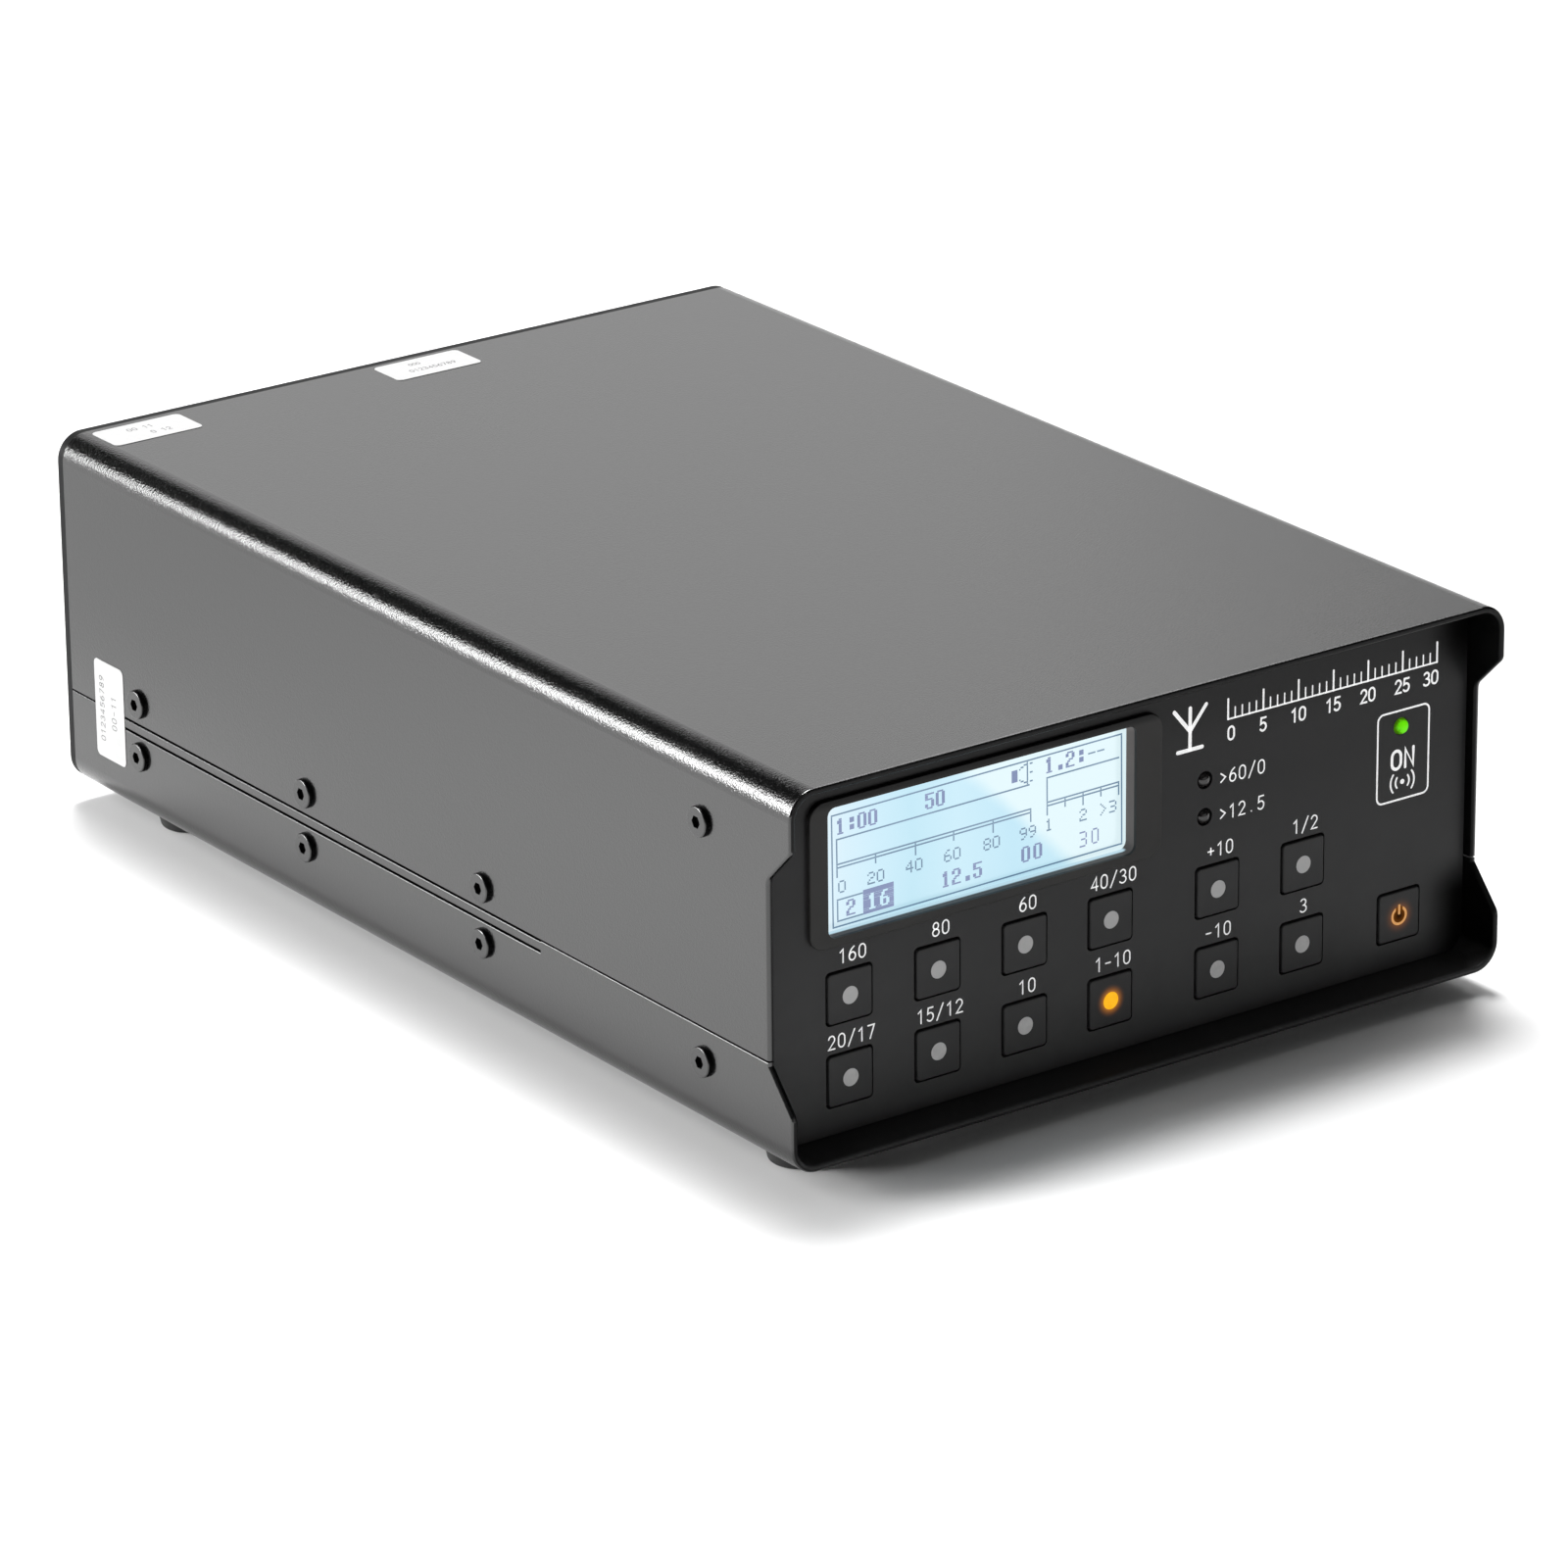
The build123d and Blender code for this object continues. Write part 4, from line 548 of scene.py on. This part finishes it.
# plain technical strokes: each character is a list of (points, closed), in a cell 0.58 wide and 1 high
W = 0.58
GLYPHS = {
    "0": [(arc_pts(0.29, 0.68, 0.27, 0.32, 0, 180) + arc_pts(0.29, 0.32, 0.27, 0.32, 180, 360), True)],
    "1": [([(0.10, 0.80), (0.34, 1.0), (0.34, 0.0)], False)],
    "2": [(arc_pts(0.28, 0.71, 0.26, 0.29, 165, -28) + [(0.02, 0.0), (0.56, 0.0)], False)],
    "3": [(arc_pts(0.26, 0.76, 0.24, 0.24, 150, -90) + arc_pts(0.26, 0.26, 0.29, 0.26, 90, -150), False)],
    "4": [([(0.44, 0.0), (0.44, 1.0), (0.0, 0.27), (0.58, 0.27)], False)],
    "5": [([(0.52, 1.0), (0.11, 1.0), (0.07, 0.55)] + arc_pts(0.27, 0.31, 0.28, 0.31, 118, -145), False)],
    "6": [(arc_pts(0.29, 0.30, 0.27, 0.30, 0, 360, 20), True), (quad_pts((0.02, 0.32), (0.04, 0.78), (0.44, 1.0)), False)],
    "7": [([(0.02, 1.0), (0.56, 1.0), (0.20, 0.0)], False)],
    "8": [(arc_pts(0.29, 0.755, 0.225, 0.245, 0, 360, 18), True), (arc_pts(0.29, 0.26, 0.275, 0.26, 0, 360, 20), True)],
    "9": [(arc_pts(0.29, 0.70, 0.27, 0.30, 0, 360, 20), True), (quad_pts((0.56, 0.68), (0.54, 0.22), (0.14, 0.0)), False)],
    "/": [([(0.02, -0.10), (0.56, 1.08)], False)],
    ".": [([(0.28, 0.05), (0.30, 0.05)], False)],
    "-": [([(0.08, 0.47), (0.50, 0.47)], False)],
    "+": [([(0.04, 0.47), (0.54, 0.47)], False), ([(0.29, 0.22), (0.29, 0.72)], False)],
    ">": [([(0.08, 0.80), (0.50, 0.47), (0.08, 0.14)], False)],
    "O": [(arc_pts(0.31, 0.66, 0.30, 0.34, 0, 180) + arc_pts(0.31, 0.34, 0.30, 0.34, 180, 360), True)],
    "N": [([(0.03, 0.0), (0.03, 1.0), (0.56, 0.0), (0.56, 1.0)], False)],
    " ": [],
}


def lettering(bm, sheet, text, cu, cv, height, pitch, stroke, slant=0.0, top=0.03):
    """Centres a line of text on (cu, cv)."""
    width = (len(text) - 1) * pitch + W * height
    for i, ch in enumerate(text):
        u0, v0 = cu - width / 2 + i * pitch, cv - height / 2
        for pts, closed in GLYPHS[ch]:
            ribbon(bm, sheet, [(u0 + (a + slant * b) * height, v0 + b * height) for a, b in pts], stroke, closed, top)


# ------------------------------------------------------------------ panel printing
bm = bmesh.new()
CAP, PITCH, STROKE = 2.35, 2.0, 0.26
for text, x, z in (("160", -56.8, 32.6), ("80", -38.8, 32.6), ("60", -20.8, 32.6), ("40/30", -2.8, 32.6),
                   ("20/17", -57.1, 17.8), ("15/12", -39.0, 17.8), ("10", -20.95, 17.8), ("1-10", -2.9, 17.8),
                   ("+10", 19.9, 32.6), ("1/2", 38.3, 32.6), ("-10", 19.6, 17.8), ("3", 38.2, 17.8)):
    lettering(bm, FRONT, text, x, z, CAP, PITCH, STROKE)
for text, z in ((">60/0", 45.35), (">12.5", 38.85)):
    lettering(bm, FRONT, text, 24.5, z, 2.35, 2.05, STROKE)
piece("panel_legends", bm, ink)

bm = bmesh.new()
ribbon(bm, FRONT, rounded(54.0, 32.25, 65.3, 48.5, 1.2), 0.34, True)
lettering(bm, FRONT, "ON", 59.6, 39.6, 3.3, 2.9, 0.56)
# radio waves either side of a dot
ribbon(bm, FRONT, [(59.58, 35.4), (59.62, 35.4)], 0.9)
for r in (1.5, 2.6):
    for a in (0, 180):
        ribbon(bm, FRONT, arc_pts(59.6, 35.4, r, r, a - 38, a + 38, 8), 0.34)
piece("indicator_frame", bm, ink)

# graduated scale and plain aerial symbol at the upper right
bm = bmesh.new()
X0, X1 = 21.3, 66.8
for i in range(31):
    x = X0 + (X1 - X0) * i / 30
    tall = 3.6 if i % 5 == 0 else 1.9
    ribbon(bm, FRONT, [(x, 55.5), (x, 55.5 + tall)], 0.36 if i % 5 == 0 else 0.26)
ribbon(bm, FRONT, [(X0, 55.5), (X1, 55.5)], 0.3)
for i, text in enumerate(("0", "5", "10", "15", "20", "25", "30")):
    x = X0 + (X1 - X0) * i / 6
    lettering(bm, FRONT, text, min(max(x, X0 + 0.7), X1 - 1.3), 52.9, 2.3, 1.75, 0.36)
ribbon(bm, FRONT, [(13.2, 51.9), (13.2, 59.3)], 0.7)
ribbon(bm, FRONT, [(9.8, 59.3), (13.2, 55.2), (16.6, 59.3)], 0.7)
ribbon(bm, FRONT, [(10.6, 51.9), (15.8, 51.9)], 0.7)
piece("panel_scale", bm, ink)

# ------------------------------------------------------------------ display content
TINY = {
    "0": "01110 10001 10001 10001 10001 10001 01110", "1": "00100 01100 00100 00100 00100 00100 01110",
    "2": "01110 10001 00001 00110 01000 10000 11111", "3": "11110 00001 00001 01110 00001 00001 11110",
    "4": "00010 00110 01010 10010 11111 00010 00010", "5": "11111 10000 11110 00001 00001 10001 01110",
    "6": "00110 01000 10000 11110 10001 10001 01110", "7": "11111 00001 00010 00100 01000 01000 01000",
    "8": "01110 10001 10001 01110 10001 10001 01110", "9": "01110 10001 10001 01111 00001 00010 01100",
    ":": "00000 00110 00110 00000 00110 00110 00000", ".": "00000 00000 00000 00000 00000 00110 00110",
    "-": "00000 00000 00000 11111 00000 00000 00000", ">": "10000 01000 00100 00010 00100 01000 10000",
    "%": "11001 11001 00010 00100 01000 10011 10011", " ": "00000 00000 00000 00000 00000 00000 00000",
    "+": "00000 00100 00100 11111 00100 00100 00000",
}
COLS, ROWS = 192, 64
thin = [[0] * COLS for _ in range(ROWS)]
bold = [[0] * COLS for _ in range(ROWS)]


def dot(grid, c, r, on=1):
    if 0 <= c < COLS and 0 <= r < ROWS:
        grid[r][c] = on


def small_text(text, col, row, step=6):
    for i, ch in enumerate(text):
        for r, line in enumerate(TINY[ch].split()):
            for c, bit in enumerate(line):
                if bit == "1":
                    dot(thin, col + i * step + c, row + r)


def big_text(text, col, row, step=7, grid=None, on=1, fat=True):
    for i, ch in enumerate(text):
        rows = TINY[ch].split()
        tall = [rows[0], rows[1], rows[1], rows[2], rows[3], rows[4], rows[5], rows[5], rows[6]]
        for r, line in enumerate(tall):
            for c, bit in enumerate(line):
                if bit == "1":
                    dot(grid or bold, col + i * step + c, row + r, on)
                    if fat:
                        dot(grid or bold, col + i * step + c + 1, row + r, on)


def hline(c0, c1, r):
    for c in range(c0, c1 + 1):
        dot(thin, c, r)


def vline(c, r0, r1):
    for r in range(r0, r1 + 1):
        dot(thin, c, r)


hline(0, COLS - 1, 0), hline(0, COLS - 1, ROWS - 1), vline(0, 0, ROWS - 1), vline(COLS - 1, 0, ROWS - 1)
hline(3, 129, 14), vline(3, 14, 27), hline(3, 130, 28), hline(3, 130, 30)
for i, c in enumerate((3, 28, 54, 79, 105, 130)):
    vline(c, 28, 35 if i % 2 == 0 or i == 5 else 33)
for text, c in (("0", 4), ("20", 23), ("40", 48), ("60", 73), ("80", 99), ("99", 123)):
    small_text(text, c, 38)
big_text("1:00", 3, 3)
big_text("50", 61, 3)
hline(141, 189, 13), vline(141, 13, 26), hline(141, 189, 27), hline(141, 189, 29)
for i, c in enumerate((141, 153, 165, 177, 189)):
    vline(c, 27, 34 if i % 2 == 0 else 32)
for text, c in (("1", 140), ("2", 163)):
    small_text(text, c, 37)
small_text(">3", 177, 37)
big_text("1.2:", 140, 2)
small_text("--", 169, 3, 6)
# loudspeaker
for r in range(4, 11):
    for c in range(118, 122):
        dot(bold, c, r)
for k in range(5):
    dot(thin, 123 + k, 4 - (k + 1) // 2 + 0), dot(thin, 123 + k, 10 + (k + 1) // 2)
vline(128, 1, 13)
for r in (2, 7, 12):
    dot(thin, 130, r), dot(thin, 131, r)
# channel box with its inverse half
hline(3, 39, 48), hline(3, 39, 60), vline(3, 48, 60), vline(39, 48, 60)
for r in range(47, 61):
    for c in range(20, 40):
        dot(bold, c, r)
for r in range(47, 61):
    for c in range(20, 40):
        dot(thin, c, r, 0)
big_text("2", 9, 50)
big_text("16", 23, 50, 8, bold, 0)
big_text("12.5", 71, 50, 7)
big_text("00", 124, 49, 8)
big_text("30", 163, 50, 8, fat=False)

LCD_C = (-29.56, 47.1)
LCD_W, LCD_H, TILT = 59.9, 19.9, math.radians(0.55)
PIX_U, PIX_V = LCD_W / COLS, LCD_H / ROWS
GLASS = Sheet(at(LCD_C[0], LCD_Y - 0.05, LCD_C[1]), (math.cos(TILT), 0, math.sin(TILT)), (-math.sin(TILT), 0, math.cos(TILT)))


def pixels(grid):
    """Runs of lit cells, joined downwards where they are alike."""
    rects, open_runs = [], {}
    for r in range(ROWS + 1):
        runs = set()
        if r < ROWS:
            c = 0
            while c < COLS:
                if grid[r][c]:
                    e = c
                    while e + 1 < COLS and grid[r][e + 1]:
                        e += 1
                    runs.add((c, e))
                    c = e + 1
                else:
                    c += 1
        for run in [k for k in open_runs if k not in runs]:
            rects.append((run[0], open_runs.pop(run), run[1] + 1, r))
        for run in runs:
            open_runs.setdefault(run, r)
    g = 0.018
    return [(c0 * PIX_U - LCD_W / 2 + g, LCD_H / 2 - r1 * PIX_V + g, c1 * PIX_U - LCD_W / 2 - g, LCD_H / 2 - r0 * PIX_V - g) for c0, r0, c1, r1 in rects]


bm = bmesh.new()
plate(bm, Sheet(at(0, LCD_Y - 0.01, 0), (1, 0, 0), (0, 0, 1)), rounded(WIN_X0 + 0.03, WIN_Z0 + 0.03, WIN_X1 - 0.03, WIN_Z1 - 0.03, WIN_R - 0.05), 0.03, 0.0)
piece("display_face", bm, lcd)
for name, grid, shade in (("display_figures", bold, lcd_ink), ("display_scales", thin, lcd_line)):
    bm = bmesh.new()
    bars(bm, GLASS, pixels(grid), 0.012, 0.0)
    piece(name, bm, shade)

# ------------------------------------------------------------------ rear printing and sticker printing
bm = bmesh.new()
for text, u, v in (("1", -52.0, 64.0), ("2", -52.0, 33.6), ("1", 14.0, 19.6), ("2", 1.0, 19.6), ("3", -12.0, 19.6)):
    lettering(bm, REAR, text, u, v, 2.3, 1.9, 0.34)
lettering(bm, REAR, "+", 53.2, 22.2, 2.6, 1.9, 0.36)
lettering(bm, REAR, "-", 40.8, 22.2, 2.6, 1.9, 0.36)
for k, w in enumerate((3.2, 2.1, 1.0)):
    ribbon(bm, REAR, [(-27.5 - w / 2, 19.4 - k * 0.85), (-27.5 + w / 2, 19.4 - k * 0.85)], 0.32)
ribbon(bm, REAR, [(-27.5, 19.4), (-27.5, 21.2)], 0.32)
piece("rear_marks", bm, ink)

bm = bmesh.new()
for text, u, v, h in (("00 11", -61.2, 219.6, 1.3), ("0 12", -58.6, 216.4, 1.3), ("000", -1.4, 220.2, 1.0), ("0123456789", 0.6, 217.0, 1.2)):
    lettering(bm, TOP, text, u, v, h, h * 0.85, 0.17, top=0.012)
for text, u, v, h in (("0123456789", 18.0, 213.4, 1.4), ("00-11", 18.0, 209.4, 1.5)):
    lettering(bm, LEFT, text, u, v, h, h * 0.92, 0.18, top=0.012)
piece("sticker_print", bm, ink_grey)

# ------------------------------------------------------------------ camera: from the left, above the panel
AZ, EL, ROLL = math.radians(-35.622), math.radians(21.151), math.radians(-0.576)
back = Vector((math.sin(AZ) * math.cos(EL), -math.cos(AZ) * math.cos(EL), math.sin(EL)))
right = (-back).cross(Vector((0, 0, 1))).normalized()
down = (-back).cross(right)
right, down = right * math.cos(ROLL) - down * math.sin(ROLL), right * math.sin(ROLL) + down * math.cos(ROLL)
shift = (0.062292, 0.047938, 1.372979)
eye = -(right * shift[0] + down * shift[1] - back * shift[2]) + Vector((0, Y_FRONT / 1000, FOOT_H / 1000))
cam_data = bpy.data.cameras.new("camera")
cam_data.sensor_width = 36.0
cam_data.lens = 8365.0 / 1600 * 36.0
cam_data.clip_start, cam_data.clip_end = 0.05, 50.0
cam = bpy.data.objects.new("camera", cam_data)
scene.collection.objects.link(cam)
cam.matrix_world = Matrix((
    (right.x, -down.x, back.x, eye.x), (right.y, -down.y, back.y, eye.y), (right.z, -down.z, back.z, eye.z), (0, 0, 0, 1)))
scene.camera = cam

# ------------------------------------------------------------------ floor, lights
floor_shade = Shade("pale_floor", Roughness=0.75, Specular_IOR_Level=0.0)
_o = floor_shade.xyz()
# painted shade: the floor is painted greyer off to the left of the case, more so towards the rear
_far_painted_shade = floor_shade.math("MULTIPLY", floor_shade.remap(_o[1], -0.04, 0.24, 0.0, 1.0, smooth=True), floor_shade.remap(_o[0], -0.095, -0.13, 0.0, 1.0, smooth=True))
floor_shade.color(floor_shade.mix(_far_painted_shade, floor_shade.ramp(floor_shade.noise(3.0, 2.0), (0.3, (0.86, 0.86, 0.86)), (0.7, (0.88, 0.88, 0.88))), (0.66, 0.66, 0.66)))
bm = bmesh.new()
bmesh.ops.create_grid(bm, x_segments=4, y_segments=4, size=6.0)
me = bpy.data.meshes.new("floor")
bm.to_mesh(me)
bm.free()
floor = bpy.data.objects.new("floor", me)
scene.collection.objects.link(floor)
floor.location = (0, 0, -0.00005)
me.materials.append(floor_shade.m)


def softbox(name, azimuth, elevation, distance, width, height, radiance, target=(0, 0, 0.03)):
    """A rectangular lamp aimed at the object. Azimuth 0 is behind it, -90 to its left."""
    a, e = math.radians(azimuth), math.radians(elevation)
    d = Vector((math.sin(a) * math.cos(e), math.cos(a) * math.cos(e), math.sin(e)))
    light = bpy.data.lights.new(name, "AREA")
    light.shape = "RECTANGLE"
    light.size, light.size_y = width, height
    light.energy = radiance * math.pi * width * height
    ob = bpy.data.objects.new(name, light)
    scene.collection.objects.link(ob)
    ob.location = Vector(target) + d * distance
    ob.rotation_mode = "QUATERNION"
    ob.rotation_quaternion = d.to_track_quat("Z", "Y")
    ob.visible_camera = False
    return ob


softbox("key_box", 33, 74, 3.2, 0.8, 0.8, 49.7)
softbox("key_soft", 33, 72, 3.2, 1.9, 1.9, 3.3)
softbox("low_left_back", -45.3, 14.5, 2.4, 0.92, 0.84, 12.8)
softbox("low_left", -60, 13, 2.4, 0.7, 0.70, 35.0)
softbox("left_high", -58, 38, 2.4, 0.9, 0.9, 5.0)
softbox("left_side", -95, 32, 2.4, 1.0, 1.0, 0.7)
softbox("back_card", 20, 12, 2.0, 2.2, 0.98, 0.865)
softbox("back_card_left", 10, 12, 2.0, 2.2, 0.98, 0.27)
softbox("back_card_top", 25, 31, 2.0, 1.25, 0.40, 1.15)
softbox("rim_strip_low", 46, 38, 2.4, 0.5, 0.45, 2.6)
softbox("rim_strip", 64, 51, 2.4, 0.7, 0.45, 4.6)
softbox("rim_strip_side", 92, 57, 2.4, 0.8, 0.45, 2.2)
softbox("front_low", 170, 14, 2.1, 2.4, 0.8, 0.62)
softbox("front_high", -165, 52, 2.0, 1.4, 1.0, 0.1)

world = bpy.data.worlds.new("studio")
scene.world = world
world.use_nodes = True
world.node_tree.nodes["Background"].inputs["Color"].default_value = (1, 1, 1, 1)
world.node_tree.nodes["Background"].inputs["Strength"].default_value = 0.015
